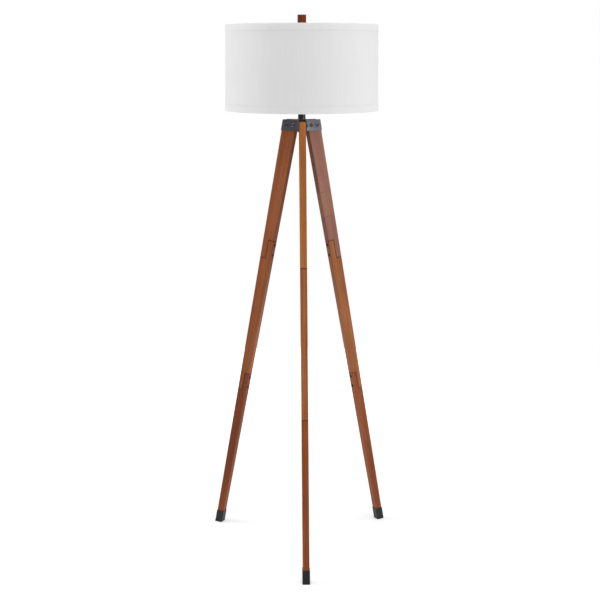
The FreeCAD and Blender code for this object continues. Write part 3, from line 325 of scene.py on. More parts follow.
# %% The wood's scales
FIGURE = {   # width, share of the height that counts, detail, seed, from and to level
    "streaks": (14 * MM, 0.045, 4, 0.0, *NOISE_SPREAD),
    "blotches": (220 * MM, 1.0, 2, 3.0, *NOISE_MIDDLE),
    "fibres": (1.8 * MM, 0.018, 3, 11.0, 0.36, 0.66),
    "pores": (0.9 * MM, 0.08, 1, 7.0, 0.58, 0.72),      # really 0.3 mm, wider to show
}
BLOTCH_SHARE = 0.3             # of the tone, and streaks give the rest
FIBRE_SHARE = 0.38             # how strongly fibres, pores and rings darken the wood
PORE_SHARE = 0.40
RING_SHARE = 0.30
RING_STRETCH = 0.045
RING_SPACING = 3.2 * MM
RING_SCALE = 2 * math.pi / 20 / RING_SPACING   # a Wave texture has 20 radians to the unit
PITH = (-0.11, 0.045, 0)       # the tree's heart, beside the board
RING_LEVELS = (0.55, 1.0)      # only a ring's dark half shows
RING_BEND = 9.0                # how far the rings wander from true circles
PORE_BROWN = "#3B1D10"


def figure_of(add, board, seed):
    """The marks of one board by name, each from 0 to 1."""
    figure = {}
    for mark, (width, stretch, detail, own_seed, start, full) in FIGURE.items():
        along = add("VectorMath", [board, (1, 1, stretch)], operation="MULTIPLY")
        noise = add("TexNoise", {
            "Vector": along, "W": seed + own_seed, "Scale": 1 / width, "Detail": detail,
            "Roughness": 0.55}, noise_dimensions="4D")
        figure[mark] = add("MapRange", [noise, start, full], **SMOOTH)
    long_grain = add("VectorMath", [board, (1, 1, RING_STRETCH)], operation="MULTIPLY")
    from_pith = add("VectorMath", [long_grain, PITH], operation="SUBTRACT")
    figure["rings"] = add("TexWave", {
        "Vector": from_pith, "Scale": RING_SCALE, "Distortion": RING_BEND, "Detail": 2.0,
        "Detail Scale": 0.25, "Phase Offset": seed * 2.0}, 1,
        wave_type="RINGS", rings_direction="Z", wave_profile="SIN")
    return figure


for mark, (width, stretch, *_) in FIGURE.items():
    print(mark, round(width / MM, 1), "mm wide,", round(width / MM / stretch), "mm long")

# %% [markdown]
# ### Joint lines
#
# The boards meet in half-lap joints: each is cut away to half its width over 60 mm. Stain
# pools in the open lines of a joint, along the middle and across at both ends, and they
# dry nearly black. The ends lie on opposite sides, so the side decides which way to step.

# %% Dark lines at the joints
LAPS = (968.7 * MM, 517.8 * MM)   # the joints' middles, up along the leg
HALF_LAP = 30 * MM
SEAM_DARK = 0.8 * MM           # stain pools in a seam: fully dark this near to it
SEAM_CLEAR = 1.9 * MM          # and gone this far from it
SEAM_SHARE = 0.9
SEAM_BROWN = "#3E1B0F"


def seam_shade(add, across, up):
    """SEAM_SHARE on the joints' open lines, and 0 away from them."""
    side = add("Math", [across], operation="SIGN")
    step = add("Math", [side, HALF_LAP], operation="MULTIPLY")
    from_middle = add("Math", [across], operation="ABSOLUTE")
    middle = add("MapRange", [from_middle, SEAM_CLEAR, SEAM_DARK], **SMOOTH)
    worst = 0.0
    for lap in LAPS:
        from_lap = add("Math", [up, lap], operation="SUBTRACT")
        to_end = add("Math", [from_lap, step], operation="ADD")
        away = add("Math", [to_end], operation="ABSOLUTE")
        end_line = add("MapRange", [away, SEAM_CLEAR, SEAM_DARK], **SMOOTH)
        height = add("Math", [from_lap], operation="ABSOLUTE")
        inside = add("Math", [height, HALF_LAP], operation="LESS_THAN")
        middle_line = add("Math", [middle, inside], operation="MULTIPLY")
        line = add("Math", [end_line, middle_line], operation="MAXIMUM")
        worst = add("Math", [worst, line], operation="MAXIMUM")
    return add("Math", [worst, SEAM_SHARE], operation="MULTIPLY")


print("joint lines", round(2 * SEAM_DARK / MM, 1), "mm wide on", len(LAPS), "laps")

# %% [markdown]
# ### The inner edge's painted shade
#
# A leg's narrow inner face is painted darker near its corner. This is painted shade: it
# stands for the shade between the legs, which is strongest near the hub, where the legs crowd
# together and keep the light off. The board is tapered, so the corner's distance from the
# middle line grows with height.

# %% Painted shade on the inner edge
HALF_FOOT = 11 * MM            # half of the board's width at the floor
HALF_TAPER = 11.75 / 1373      # and what it gains for each metre up the leg
INNER_SHADE_FULL = 0.2 * MM           # the painted shade is full this near to the edge
INNER_SHADE_CLEAR = 1.3 * MM          # and gone this far from it
INNER_SHADE_FADE = (0.45, 1.2)        # metres up the leg, from no painted shade to all of it
INNER_SHADE_SHARE = 0.6
# the colour of the painted shade between the legs
INNER_SHADE_BROWN = "#4A2216"


def painted_inner_shade(add, across, up):
    """The painted shade's share on the inner narrow face near the hub, and 0 towards the
    floor.
    """
    half = add("Math", [up, HALF_TAPER, HALF_FOOT], operation="MULTIPLY_ADD")
    depth = add("Math", [half, across], operation="ADD")
    on_edge = add("MapRange", [depth, INNER_SHADE_CLEAR, INNER_SHADE_FULL], **SMOOTH)
    high_up = add("MapRange", [up, *INNER_SHADE_FADE, 0.0, INNER_SHADE_SHARE], **SMOOTH)
    return add("Math", [on_edge, high_up], operation="MULTIPLY")


print("board", round(2 * (HALF_FOOT + HALF_TAPER) / MM, 1), "mm wide, a metre up")

# %% [markdown]
# ### A glued-in block
#
# Rubberwood trees are small, so boards are built up from short lengths glued end to end.
# Most blocks match and can't be told apart. One in the right leg's top board is tanner,
# and its two glue lines show as broken hairlines.

# %% The block's layers of colour
BLOCK_ENDS = (1076 * MM, 1154 * MM)   # up along the leg
BLOCK_SHARE = 0.3
BLOCK_TAN = "#A0704C"
HAIRLINE = 0.7 * MM
HAIRLINE_FADE = 2.2 * HAIRLINE
HAIRLINE_SHARE = 0.6
GLUE_BROWN = "#63402E"


def block_layers(add, up, streaks):
    """The tan of the block and the brown of its glue lines, each with its share."""
    start, end = BLOCK_ENDS
    above = add("MapRange", [up, start - HAIRLINE, start + HAIRLINE], **SMOOTH)
    below = add("MapRange", [up, end + HAIRLINE, end - HAIRLINE], **SMOOTH)
    inside = add("Math", [above, below], operation="MULTIPLY")
    layers = [(add("Math", [inside, BLOCK_SHARE], operation="MULTIPLY"), BLOCK_TAN)]
    for glued in BLOCK_ENDS:
        height = add("Math", [up, glued], operation="SUBTRACT")
        away = add("Math", [height], operation="ABSOLUTE")
        line = add("MapRange", [away, HAIRLINE_FADE, HAIRLINE, 0.0, HAIRLINE_SHARE], **SMOOTH)
        broken = add("Math", [line, streaks], operation="MULTIPLY")
        layers.append((broken, GLUE_BROWN))
    return layers


print("block", round((BLOCK_ENDS[1] - BLOCK_ENDS[0]) / MM), "mm long")

# %% [markdown]
# ### The whole finish
#
# The wood is built up as a finisher would do it, with one layer of painted shade added. The
# board's deep stain is the ground, and each layer is mixed over it by its own share: the pale
# tone, the growth rings, the fibres, the pores, the painted shade on the inner edge, the
# block and the joint lines. Pores are also the only marks that a finger could feel, so they
# dull the lacquer and dent it. The lacquer is thin and satin, so it barely mirrors anything.

# %% One board's finish
THIN_LACQUER = 0.03
SATIN = (0.40, 0.62)           # roughness from clear wood to a pore
RING_HEIGHT = 0.15             # a ring is raised by this share of a pore's depth
PORE_DEPTH = 0.15 * MM


def stained_wood(name, seed, frame_of_board, pale, deep, lacquer=THIN_LACQUER, seams=True,
                 block=False):
    """Stained wood between a pale and a deep colour, its figure shifted by a seed."""
    wood, shader, add = new_finish(name, {
        "Coat Weight": lacquer, "Coat Roughness": 0.3, "Specular IOR Level": 0.14,
        "IOR": 1.5})
    turn, shift = frame_of_board
    where = add("TexCoord", out="Object")
    board = add("Mapping", {"Vector": where, "Rotation": turn, "Location": shift})
    parts = add("SeparateXYZ", [board]).node.outputs
    across, up = parts["X"], parts["Z"]
    figure = figure_of(add, board, seed)

    tone = add("Mix", {0: BLOTCH_SHARE, 2: figure["streaks"], 3: figure["blotches"]})
    ring_shade = add("MapRange", [figure["rings"], *RING_LEVELS, 0.0, RING_SHARE], **SMOOTH)
    fibre_shade = add("Math", [figure["fibres"], FIBRE_SHARE], operation="MULTIPLY")
    pore_shade = add("Math", [figure["pores"], PORE_SHARE], operation="MULTIPLY")
    # the inner edge's layer is painted shade between the legs
    layers = [(tone, pale), (ring_shade, deep), (fibre_shade, deep),
              (pore_shade, PORE_BROWN), (painted_inner_shade(add, across, up), INNER_SHADE_BROWN)]
    if block:
        layers += block_layers(add, up, figure["streaks"])
    if seams:
        layers.append((seam_shade(add, across, up), SEAM_BROWN))
    base = linear(deep)
    for share, stain in layers:
        base = add("Mix", {0: share, 6: base, 7: linear(stain)}, **COLOURS)

    rough = add("MapRange", [figure["pores"], 0.0, 1.0, *SATIN], **SMOOTH)
    raised = add("Math", [figure["rings"], RING_HEIGHT], operation="MULTIPLY")
    height = add("Math", [raised, figure["pores"]], operation="SUBTRACT")
    normal = add("Bump", {"Height": height, "Strength": 0.35, "Distance": PORE_DEPTH})
    fill(shader, {"Base Color": base, "Roughness": rough, "Normal": normal})
    return wood


print("a board has", len(FIGURE) + 1, "kinds of marks over its deep stain")

# %% [markdown]
# ### The nine boards
#
# The front leg is the most orange one, the left leg browner, and the right leg's top board
# greyer and pinker than the rest, with a fuller lacquer. That grey pink is partly the board's
# own stain and partly painted sheen, standing for a soft box's glancing reflection in its
# satin face. All of them deepen towards the floor. Each board's seed shifts its figure, so
# that no two are cut from the same place.

# %% Stain the legs
STAINS = {   # pale and deep
    ("front", "upper"): ("#D2844A", "#A86632"),
    ("front", "middle"): ("#B97241", "#8F512A"),
    ("front", "lower"): ("#AB5E31", "#7C3D1C"),
    ("left", "upper"): ("#B67046", "#8C4D2D"),
    ("left", "middle"): ("#AB653C", "#804422"),
    ("left", "lower"): ("#974C25", "#683013"),
    ("right", "upper"): ("#AB745E", "#855443"),
    # greyer and pinker stain, partly painted sheen from a soft box on the right
    ("right", "middle"): ("#B57345", "#8B4F29"),
    ("right", "lower"): ("#A65B31", "#773B1C"),
}
SEED_STEP = 1.37
BUILT_UP = ("right", "upper")  # the board with the block
FULL_LACQUER = 0.22
finish_of = {}                 # parts with a finish of their own
for number, ((side, section), (pale, deep)) in enumerate(STAINS.items()):
    built_up = (side, section) == BUILT_UP
    finish_of[f"{side}_leg_{section}"] = stained_wood(
        f"stained_wood_{side}_{section}", number * SEED_STEP,
        board_frame(LEG_BEARINGS[side]), pale, deep,
        FULL_LACQUER if built_up else THIN_LACQUER, block=built_up)
print(len(finish_of), "boards stained")

# %% [markdown]
# The finial is a small block of the same wood with a darker, redder stain. Its grain stands
# upright, so its board frame only moves the pattern onto the lamp's axis.

# %% The finial's finish
FINIAL_SEED = 21.0
finish_of["finial_block"] = stained_wood(
    "finial_wood", FINIAL_SEED, ((0, 0, 0), -AXIS), "#8E4722", "#5E2A12", seams=False)
print("finial stained with", finish_of["finial_block"].name)

# %% [markdown]
# ## Coated steel
#
# The hub's plates, its stem and the legs' shoes are steel under powder coat: a paint that
# is sprayed on as dust and baked. It flows almost smooth, but keeps a fine pebbled skin
# that breaks a reflection into speckles. The hub's coat holds metal flakes, so it is a
# dark gunmetal that flashes pale where it mirrors a soft box. The stem is darker and
# glossier, and the shoes are plain black.
#
# The pebbles are under half a millimetre across. They are drawn three times as coarse so
# that they still show a little from across the room.

# %% Powder coat
PEBBLE = 1.4 * MM
PEBBLE_HEIGHT = 0.12 * MM
FLAKE_LEVELS = (0.35, 0.68)    # a pebble is dark below the first and pale above the second
COAT_CLOUD = 35 * MM           # handling leaves duller patches this wide
CLEAN = -0.05                  # roughness of a clean patch against the mean
HANDLED = 0.07                 # and of a handled one


def powder_coat(name, code, flake, gloss_loss, metal, shine=0.5):
    """flake is how much paler the flakes are; gloss_loss is the coat's roughness."""
    coat, shader, add = new_finish(name, {"Metallic": metal, "Specular IOR Level": shine})
    where = add("TexCoord", out="Object")
    pebbles = add("TexNoise", {
        "Vector": where, "Scale": 1 / PEBBLE, "Detail": 2.0, "Roughness": 0.6})
    clouds = add("TexNoise", {"Vector": where, "Scale": 1 / COAT_CLOUD, "Detail": 3.0})
    speckle = add("MapRange", [pebbles, *FLAKE_LEVELS], **SMOOTH)
    dark, pale = linear(code, 1 - flake), linear(code, 1 + flake)
    base = add("Mix", {0: speckle, 6: dark, 7: pale}, **COLOURS)
    rough = add("MapRange", [
        clouds, *NOISE_SPREAD, gloss_loss + CLEAN, gloss_loss + HANDLED], **SMOOTH)
    normal = add("Bump", {"Height": pebbles, "Strength": 0.5, "Distance": PEBBLE_HEIGHT})
    fill(shader, {"Base Color": base, "Roughness": rough, "Normal": normal})
    return coat


SLOT_FINISH = {
    "gunmetal": powder_coat("gunmetal", "#606066", 0.30, 0.38, 0.92),
    "black_steel": powder_coat("black_steel", "#1D1D20", 0.20, 0.40, 0.1, shine=0.3),
}
finish_of["stem_tube"] = powder_coat("gunmetal_stem", "#3E3E43", 0.18, 0.18, 0.95)
print("pebbles drawn", round(PEBBLE / MM, 1), "mm wide")

# %% [markdown]
# ## Bare and plated metal
#
# Screws are steel with black oxide, a thin chemical skin that keeps the steel's shine but
# turns it nearly black. Zinc plate is a cool grey, lacquered brass is warm, and the
# lampholder's brass is darkened with a bronze stain. Drawn and turned parts keep the marks
# of their tools, hair-fine rings round the lamp's axis, and fingers leave duller clouds.
#
# The rings come from a noise that is squeezed along the axis: it changes quickly with
# height and hardly at all sideways. Real tool marks are a tenth of a millimetre apart, and
# are drawn coarser so that they show.

# %% Turned metal
TOOL_MARK = 0.6 * MM
TOOL_MARK_ALONG = 0.04         # share of the sideways distance that counts
FINGER_CLOUD = 9 * MM
TARNISH_LEVELS = (0.42, 0.75)  # the second is seldom reached, so it stays faint
GLOSS_BEST = -0.08             # roughness of a clean, unmarked spot against the mean
DULL_ROUGHNESS = 0.12
RING_ROUGHNESS = 0.16
MARK_CONTRAST = 4              # bump strength for each millimetre of a ring's depth


def turned_metal(name, code, gloss_loss, tarnish, marks=0.06):
    """tarnish is the colour of its duller clouds; marks is its rings' depth in mm."""
    metal, shader, add = new_finish(name, {"Metallic": 1.0})
    where = add("TexCoord", out="Object")
    clouds = add("TexNoise", {"Vector": where, "Scale": 1 / FINGER_CLOUD, "Detail": 4.0})
    dull = add("MapRange", [clouds, *TARNISH_LEVELS], **SMOOTH)
    base = add("Mix", {0: dull, 6: linear(code), 7: linear(tarnish)}, **COLOURS)
    squeezed = add("VectorMath", [where, (TOOL_MARK_ALONG, TOOL_MARK_ALONG, 1)],
                   operation="MULTIPLY")
    rings = add("TexNoise", {"Vector": squeezed, "Scale": 1 / TOOL_MARK, "Detail": 2.0})
    clean = gloss_loss + GLOSS_BEST
    clouded = add("Math", [dull, DULL_ROUGHNESS, clean], operation="MULTIPLY_ADD")
    rough = add("Math", [rings, RING_ROUGHNESS, clouded], operation="MULTIPLY_ADD")
    normal = add("Bump", {
        "Height": rings, "Strength": marks * MARK_CONTRAST, "Distance": marks * MM})
    fill(shader, {"Base Color": base, "Roughness": rough, "Normal": normal})
    return metal


METALS = {   # the finish's name, colour, roughness and tarnish
    "black_screw": ("black_oxide_steel", "#2C2C2F", 0.26, "#171617"),
    "zinc_steel": ("zinc_plated_steel", "#B9BCC0", 0.34, "#8F9296"),
    "brass": ("lacquered_brass", "#D2AA62", 0.26, "#A98244"),
    "dark_brass": ("bronzed_brass", "#5E4C3A", 0.32, "#3C3026"),
    "bulb_solder": ("tin_solder", "#A9A9A6", 0.42, "#7E7E7C", 0.02),
    "bulb_aluminium": ("pressed_aluminium", "#D3D4D6", 0.30, "#AEB0B2"),
}
for slot, settings in METALS.items():
    SLOT_FINISH[slot] = turned_metal(*settings)
print(len(METALS), "metals turned")

# %% [markdown]
# The hub's bolts have domed heads that are tumbled with pebbles before they are blackened.
# Tumbling polishes them, so they glint more than the screws in the legs do.

# %% The hub's bolts
tumbled = turned_metal("tumbled_black_steel", "#606066", 0.16, "#2A292C")
for node in ("hub_bolts", "hub_sleeve_nuts"):
    finish_of[node] = tumbled
print(len(finish_of), "parts have a finish of their own")

# %% [markdown]
# ## Moulded and coated parts
#
# Rubber soles, the nylon bushing, the phenolic body of the lampholder, its fibre sleeve,
# the styrene sheet inside the shade and the paint on its wires have no grain direction.
# What tells them apart is colour, gloss, and how coarse their skin is: dusty and matt for
# rubber, almost polished for phenolic, and a faint orange peel on paint and sheet.
#
# The bulb's glass is etched on its inside and smooth outside. The eye sees a soft white
# body under a sharp thin gloss, so it is a matt white with a full clear coat.

# %% Moulded skins
MOULD_CLOUD = 30 * MM
SKIN_ROUGHNESS = 0.06          # hollows are this much glossier than the mean, and tops duller


def moulded(name, code, gloss_loss, skin, depth, uneven=0.06, coat=0.0):
    """skin is the width of the skin's pebbles and depth their height, in millimetres."""
    body, shader, add = new_finish(name, {
        "IOR": 1.5, "Coat Weight": coat, "Coat Roughness": 0.1})
    where = add("TexCoord", out="Object")
    pebbles = add("TexNoise", {"Vector": where, "Scale": 1 / (skin * MM), "Detail": 3.0})
    clouds = add("TexNoise", {"Vector": where, "Scale": 1 / MOULD_CLOUD, "Detail": 2.0})
    patches = add("MapRange", [clouds, *NOISE_MIDDLE], **SMOOTH)
    deep = linear(code, 1 - 2 * uneven)
    base = add("Mix", {0: patches, 6: deep, 7: linear(code)}, **COLOURS)
    rough = add("MapRange", [
        pebbles, *NOISE_SPREAD, gloss_loss - SKIN_ROUGHNESS, gloss_loss + SKIN_ROUGHNESS],
        **SMOOTH)
    normal = add("Bump", {"Height": pebbles, "Strength": 0.6, "Distance": depth * MM})
    fill(shader, {"Base Color": base, "Roughness": rough, "Normal": normal})
    return body


MOULDINGS = {   # the finish's name, colour, roughness, skin, depth, unevenness and coat
    "black_rubber": ("black_rubber", "#1D1D1C", 0.85, 1.2, 0.12, 0.12),
    "white_nylon": ("white_nylon", "#E4E3DC", 0.42, 1.5, 0.03),
    "fibre_board": ("vulcanised_fibre", "#8F7448", 0.80, 0.9, 0.08, 0.12),
    "phenolic": ("brown_phenolic", "#231B18", 0.22, 3.0, 0.02, 0.10),
    "black_glass": ("black_glass", "#0E0E11", 0.12, 5.0, 0.01),
    "white_styrene": ("white_styrene", "#F0EFEC", 0.60, 1.6, 0.01, 0.004),
    "white_wire": ("white_painted_wire", "#E9E9E6", 0.32, 8.0, 0.01, 0.02),
    "frosted_glass": ("inside_frosted_glass", "#F3F2EC", 0.62, 6.0, 0.01, 0.02, 1.0),
}
for slot, settings in MOULDINGS.items():
    SLOT_FINISH[slot] = moulded(*settings)
print(len(MOULDINGS), "mouldings and coats mixed")

# %% [markdown]
# ## Linen
#
# The drum is covered with bleached linen on a stiff styrene sheet. Linen thread is uneven:
# here and there it swells into a slub, a thicker stretch some centimetres long, which
# shows as a faint pale streak along the weave or across it. The threads themselves are
# 0.5 mm apart. They are drawn 1.5 mm apart, because nearer than that they would vanish.
#
# Cloth has to carry its pattern round the drum, so the linen reads a UV map laid out in
# metres: along the cut length, and up the cut width. A plain weave is two sets of rounded
# threads, and a checkerboard decides which of the two lies on top.

# %% Bleached linen
THREAD = 1.5 * MM
SLUB_WIDTH = 3.0 * MM
SLUB_LENGTH = 110 * MM
SLUB_LEVELS = (0.52, 0.80)     # only a noise's highest values swell a thread
FLAT_SLUBS = 0.2               # slubs across the drum show this much of the upright ones
SLUB_SHARE = 0.70              # of the tone, and the weave gives the rest
THREAD_HEIGHT = 0.1 * MM
HEM_SHADOW_FULL = 0.6                 # the painted shadow line is full up to this share of its width
HEM_SHADOW_SHARE = 0.2
# the grey of the painted shadow along a tape's turned-under edge
HEM_SHADOW_GREY = "#DADADA"


def woven_linen(name, code, deep, edge=0.0):
    """edge is how wide a painted shadow line runs along the strip's first edge, in metres."""
    linen, shader, add = new_finish(name, {
        "Roughness": 0.9, "Sheen Weight": 0.18, "Sheen Roughness": 0.5, "IOR": 1.45})
    cut = add("UVMap", out="UV", uv_map="cloth")
    parts = add("SeparateXYZ", [cut]).node.outputs

    def threads(axis):
        """One set of rounded threads side by side: 0 between two, 1 on top of one."""
        turns = add("Math", [parts[axis], math.pi / THREAD], operation="MULTIPLY")
        wave = add("Math", [turns], operation="SINE")
        return add("Math", [wave], operation="ABSOLUTE")

    def slubs(scale, seed):
        """Where a thread swells: scale says how many slubs lie in a metre, each way."""
        stretched = add("VectorMath", [cut, scale], operation="MULTIPLY")
        spots = add("TexNoise", {"Vector": stretched, "W": seed, "Scale": 1.0,
                                 "Detail": 2.0}, noise_dimensions="4D")
        return add("MapRange", [spots, *SLUB_LEVELS], **SMOOTH)

    over = add("TexChecker", {"Vector": cut, "Scale": 1 / THREAD}, 1)
    weave = add("Mix", {0: over, 2: threads("X"), 3: threads("Y")})
    flat = slubs((1 / SLUB_LENGTH, 1 / SLUB_WIDTH, 0), 1.0)
    upright = slubs((1 / SLUB_WIDTH, 1 / SLUB_LENGTH, 0), 5.0)
    fainter = add("Math", [flat, FLAT_SLUBS], operation="MULTIPLY")
    swollen = add("Math", [upright, fainter], operation="MAXIMUM")
    shade = add("Mix", {0: SLUB_SHARE, 2: weave, 3: swollen})
    base = add("Mix", {0: shade, 6: linear(deep), 7: linear(code)}, **COLOURS)
    # a painted shadow along the strip's turned-under raw edge
    if edge:
        line = add("MapRange", [parts["Y"], edge, edge * HEM_SHADOW_FULL, 0.0, HEM_SHADOW_SHARE], **SMOOTH)
        base = add("Mix", {0: line, 6: base, 7: linear(HEM_SHADOW_GREY)}, **COLOURS)
    height = add("Math", [weave, swollen], operation="ADD")
    normal = add("Bump", {"Height": height, "Strength": 0.5, "Distance": THREAD_HEIGHT})
    fill(shader, {"Base Color": base, "Normal": normal})
    return linen


SLOT_FINISH["white_linen"] = woven_linen("bleached_linen", "#F8F8F8", "#EDEDED")
print(len(SLOT_FINISH), "finishes mixed")

# %% [markdown]
# The tapes round the rims are the same linen. Where a tape's raw edge is turned under, its
# own thickness throws a hair of shade, drawn here as a painted shadow: a grey line on the
# tape along that edge. The double layer looks denser.

# %% The tapes' linen
HEM_SHADOW_WIDTH = 6 * MM              # the painted shadow's width, from the raw edge over the fold
tape_linen = woven_linen("bleached_linen_tape", "#F8F8F8", "#EEEEEE", HEM_SHADOW_WIDTH)
print("hem's line", round(HEM_SHADOW_WIDTH / MM, 1), "mm wide with its fold")

# %% [markdown]
# ## Every part gets its finish
#
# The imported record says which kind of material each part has. Most parts take the finish
# of their kind, and the boards, the finial, the stem and the bolts take their own.

# %% Hand out the finishes
slot_of = {}
for part in frame["record"]["subparts"]:
    node, slot = part["node"], part["material_slot"]
    slot_of[node] = slot
    for holder in frame["nodes"][node].material_slots:
        holder.material = finish_of.get(node, SLOT_FINISH.get(slot))
print(len(slot_of), "parts finished")

# %% [markdown]
# ## Working on one piece
#
# Each new piece is added as a plain ring or copied from an imported part, then shaped in edit
# mode. Blender's operators act on whatever is selected, so a small helper selects one object
# and nothing else. When a piece is done, another helper puts its origin at the world's, as
# every imported part has it, gives it its finish, hangs it on the body it rides on, and hides
# the parts it stands in for.

# %% Selecting and finishing a piece
def only(obj):
    """Selects one object and nothing else, and makes it the active one."""
    bpy.ops.object.select_all(action="DESELECT")
    obj.select_set(True)
    bpy.context.view_layer.objects.active = obj


def apply_modifier(obj, kind, **settings):
    """Puts a modifier on an object and applies it at once."""
    only(obj)
    modifier = obj.modifiers.new(kind.lower(), kind)
    for name, value in settings.items():
        setattr(modifier, name, value)
    bpy.ops.object.modifier_apply(modifier=modifier.name)


def settled(obj, body, slot, *stands_for, finish=None):
    """Gives a shaped piece its place, its finish (the slot's, unless one is given) and its
    body, and hides the parts it replaces.
    """
    only(obj)
    bpy.ops.object.transform_apply(location=True, rotation=True, scale=True)
    obj.data.materials.clear()
    obj.data.materials.append(finish or SLOT_FINISH[slot])
    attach(obj, body)
    if stands_for:
        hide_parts(*stands_for)
    print(obj.name, len(obj.data.polygons), "faces, rides on", body)


# %% [markdown]
# ## The shade's cloth
#
# A drum shade is sewn from flat strips. The wall is one long strip of linen, glued to the
# styrene and closed by a narrow lap at the back. A tape of the same linen is folded over
# each rim: it covers the wall's raw edge outside, goes over the wire ring, and is tucked
# back against the styrene inside. The tapes are what the eye reads as the drum's hems.
#
# All three are rings of cloth, so they are made the same way: a circle of edges is added,
# and extruded from one point of the strip's cross-section to the next. A spun curve would
# do as well, but extruding shows each step, and the ring order makes the UV map simple.

# %% A ring of cloth from its cross-section
DRUM_STEPS = 192


def ring_of_cloth(name, section):
    """Extrudes a circle through the (radius, height) points of a cross-section."""
    radius, height = section[0]
    bpy.ops.mesh.primitive_circle_add(
        vertices=DRUM_STEPS, radius=radius, fill_type="NOTHING",
        location=(AXIS.x, AXIS.y, height))
    strip = bpy.context.object
    strip.name = name
    bpy.ops.object.mode_set(mode="EDIT")
    bpy.ops.mesh.select_mode(type="EDGE")
    bpy.ops.mesh.select_all(action="SELECT")
    for next_radius, next_height in section[1:]:
        bpy.ops.mesh.extrude_region_move(
            TRANSFORM_OT_translate={"value": (0, 0, next_height - height)})
        share = next_radius / radius
        bpy.ops.transform.resize(
            value=(share, share, 1), center_override=(AXIS.x, AXIS.y, next_height))
        radius, height = next_radius, next_height
    bpy.ops.mesh.select_all(action="SELECT")
    bpy.ops.mesh.normals_make_consistent(inside=False)
    bpy.ops.object.mode_set(mode="OBJECT")
    return strip


print("one step of the drum is", round(360 / DRUM_STEPS, 2), "degrees")

# %% [markdown]
# The UV map lays the strip out flat again. U is the distance round the drum and V the
# distance along the cross-section, both in metres. A face that crosses the back, where a
# turn jumps from half a turn right to half a turn left, counts on instead.

# %% Lay a strip out flat
def lay_out(strip, section):
    """Gives a ring of cloth its UV map and returns the strip's cut width."""
    along = [0.0]
    for (r0, z0), (r1, z1) in zip(section, section[1:]):
        along.append(along[-1] + math.hypot(r1 - r0, z1 - z0))
    mesh = strip.data
    cloth = mesh.uv_layers.new(name="cloth")
    mean_radius = sum(r for r, _ in section) / len(section)
    for face in mesh.polygons:
        turns = []
        for vertex in face.vertices:
            place = mesh.vertices[vertex].co
            turns.append(math.atan2(place.x, -place.y))
        wraps = max(turns) - min(turns) > math.pi
        for loop, vertex, turn in zip(face.loop_indices, face.vertices, turns):
            turn += 2 * math.pi if wraps and turn < 0 else 0
            cloth.data[loop].uv = (turn * mean_radius, along[vertex // DRUM_STEPS])
    return along[-1]


print("a thread is drawn", round(THREAD / MM, 1), "mm wide on the flat strip")

# %% [markdown]
# ### The wall
#
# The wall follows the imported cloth's outside, which is slightly wider at the bottom. Its
# thickness is added inwards, so that the outside stays true. The lap at the back is made
# by raising two faces by one more layer of cloth.

# %% Measure the drum
low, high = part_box("shade_fabric")
DRUM_BOTTOM = low.z
DRUM_TOP = high.z
DRUM_BOTTOM_RADIUS = (high.x - low.x) / 2
DRUM_DRAW = 3.4 * MM           # the top rim is drawn in by this much
DRUM_TOP_RADIUS = DRUM_BOTTOM_RADIUS - DRUM_DRAW


def drum_radius(height):
    """The drum's outside radius at a height."""
    share = (height - DRUM_BOTTOM) / (DRUM_TOP - DRUM_BOTTOM)
    return DRUM_BOTTOM_RADIUS + (DRUM_TOP_RADIUS - DRUM_BOTTOM_RADIUS) * share


print("drum", round(2 * DRUM_BOTTOM_RADIUS, 3), "m wide,",
      round(DRUM_TOP - DRUM_BOTTOM, 3), "m high")

# %% Sew the wall
CLOTH = 0.35 * MM
GLUE = 0.2 * MM
LAP_FACES = 2
section = [(DRUM_BOTTOM_RADIUS, DRUM_BOTTOM), (DRUM_TOP_RADIUS, DRUM_TOP)]
wall = ring_of_cloth("shade_linen_wall", section)
wall_width = lay_out(wall, section)

only(wall)
bpy.ops.object.mode_set(mode="EDIT")
bpy.ops.mesh.select_mode(type="FACE")
bpy.ops.mesh.select_all(action="DESELECT")
bpy.ops.object.mode_set(mode="OBJECT")
lap_reach = LAP_FACES * math.pi * DRUM_BOTTOM_RADIUS / DRUM_STEPS
for face in wall.data.polygons:
    face.select = face.center.y > 0 and abs(face.center.x) < lap_reach
bpy.ops.object.mode_set(mode="EDIT")
bpy.ops.mesh.extrude_region_shrink_fatten(TRANSFORM_OT_shrink_fatten={"value": CLOTH})
bpy.ops.object.mode_set(mode="OBJECT")

apply_modifier(wall, "SOLIDIFY", thickness=CLOTH + GLUE, offset=-1)
bpy.ops.object.shade_smooth_by_angle(angle=math.radians(30))
settled(wall, "shade", "white_linen", "shade_fabric")

# %% [markdown]
# ### The tapes
#
# One cross-section serves both rims. It is written in millimetres, as distances in from
# the drum's face and away from the rim, and turned upside down for the bottom. It starts
# with the raw edge turned under, comes up the outside, rounds the rim, goes round the wire
# ring, and ends against the styrene.

# %% Fold the tapes over both rims
TAPE_POINTS = [
    (-0.06, 16.5), (-0.08, 19.4), (-0.30, 19.8), (-0.60, 19.5), (-0.66, 18.0),
    (-0.62, 8.0), (-0.50, 1.2), (-0.25, 0.35), (0.15, -0.05), (0.7, -0.25),
    (1.8, -0.05), (3.35, 0.45), (4.6, 0.9), (5.4, 1.9), (5.68, 3.0), (5.4, 4.2),
    (4.6, 5.1), (3.2, 5.9), (2.0, 6.8), (1.62, 8.0), (1.60, 10.0)]


def tape(name, rim, inwards):
    """inwards is the direction from the rim to the drum's middle: -1 at the top rim."""
    section = []
    for deep, away in TAPE_POINTS:
        height = rim + inwards * away * MM
        section.append((drum_radius(height) - deep * MM, height))
    strip = ring_of_cloth(name, section)
    width = lay_out(strip, section)
    apply_modifier(strip, "SOLIDIFY", thickness=CLOTH, offset=-1)
    bpy.ops.object.shade_smooth_by_angle(angle=math.radians(50))
    settled(strip, "shade", "white_linen", finish=tape_linen)


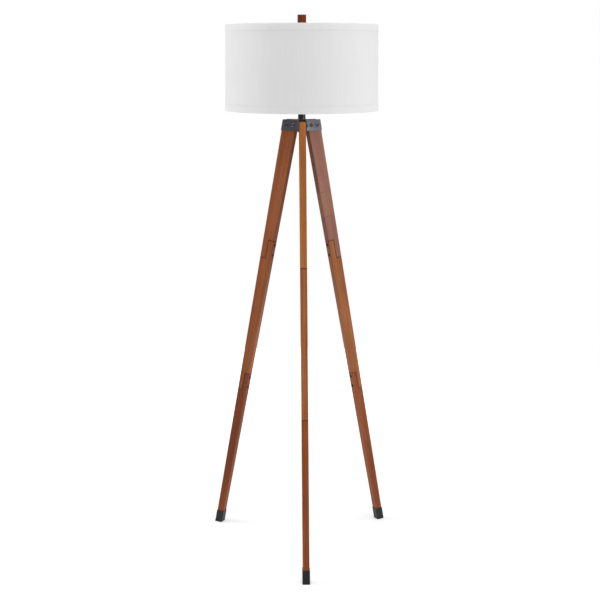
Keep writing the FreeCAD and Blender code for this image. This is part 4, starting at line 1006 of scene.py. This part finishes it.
tape("shade_top_tape", DRUM_TOP, -1)
tape("shade_bottom_tape", DRUM_BOTTOM, 1)

# %% [markdown]
# ## Eased edges
#
# Sheared plate, a pressed shoe, a turned bolt and a sawn block never have knife edges: the
# coat or the sander rounds them, and the round catches a thin line of light. The imported
# parts are exact but sharp. A copy of each has its triangles merged into whole faces, its
# corners bevelled by the real radius, and its shading smoothed except at corners, with the
# large faces kept flat. The imported part stays where it is, hidden, for the parts that work.

# %% Ease the edges
MERGE = 0.01 * MM
FLAT_ANGLE = math.radians(0.5)
CORNER = math.radians(40)
EDGE_RADIUS = {
    "hub_plate_front_right": 0.35 * MM,
    "hub_plate_back": 0.35 * MM,
    "hub_plate_front_left": 0.35 * MM,
    **{f"{side}_foot_cap": 0.25 * MM for side in LEG_BEARINGS},
    "finial_block": 0.5 * MM,
    "hub_bolts": 0.3 * MM,
    "hub_sleeve_nuts": 0.3 * MM,
}
for node, radius in EDGE_RADIUS.items():
    source = frame["nodes"][node]
    copy = bpy.data.objects.new(f"{node}_eased", source.data.copy())
    scene.collection.objects.link(copy)
    only(copy)
    bpy.ops.object.mode_set(mode="EDIT")
    bpy.ops.mesh.select_all(action="SELECT")
    bpy.ops.mesh.remove_doubles(threshold=MERGE)
    bpy.ops.mesh.dissolve_limited(angle_limit=FLAT_ANGLE)
    bpy.ops.object.mode_set(mode="OBJECT")
    apply_modifier(copy, "BEVEL", width=radius, segments=2, limit_method="ANGLE",
                   angle_limit=CORNER)
    bpy.ops.object.shade_smooth_by_angle(angle=CORNER)
    apply_modifier(copy, "WEIGHTED_NORMAL", weight=100, keep_sharp=True)
    settled(copy, source["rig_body"], slot_of[node], node, finish=finish_of.get(node))

# %% [markdown]
# ## How far the sizes moved
#
# The new pieces should add no more than a hair to the lamp. The cell prints how far each
# corner of the lamp's box moved between the imported lamp and the finished one.

# %% Print how far the box's corners moved
new_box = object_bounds()
for name, before, after in zip(("low", "high"), cad_box, new_box):
    print(name, "corner moved", [round((b - a) / MM, 2) for a, b in zip(before, after)], "mm")
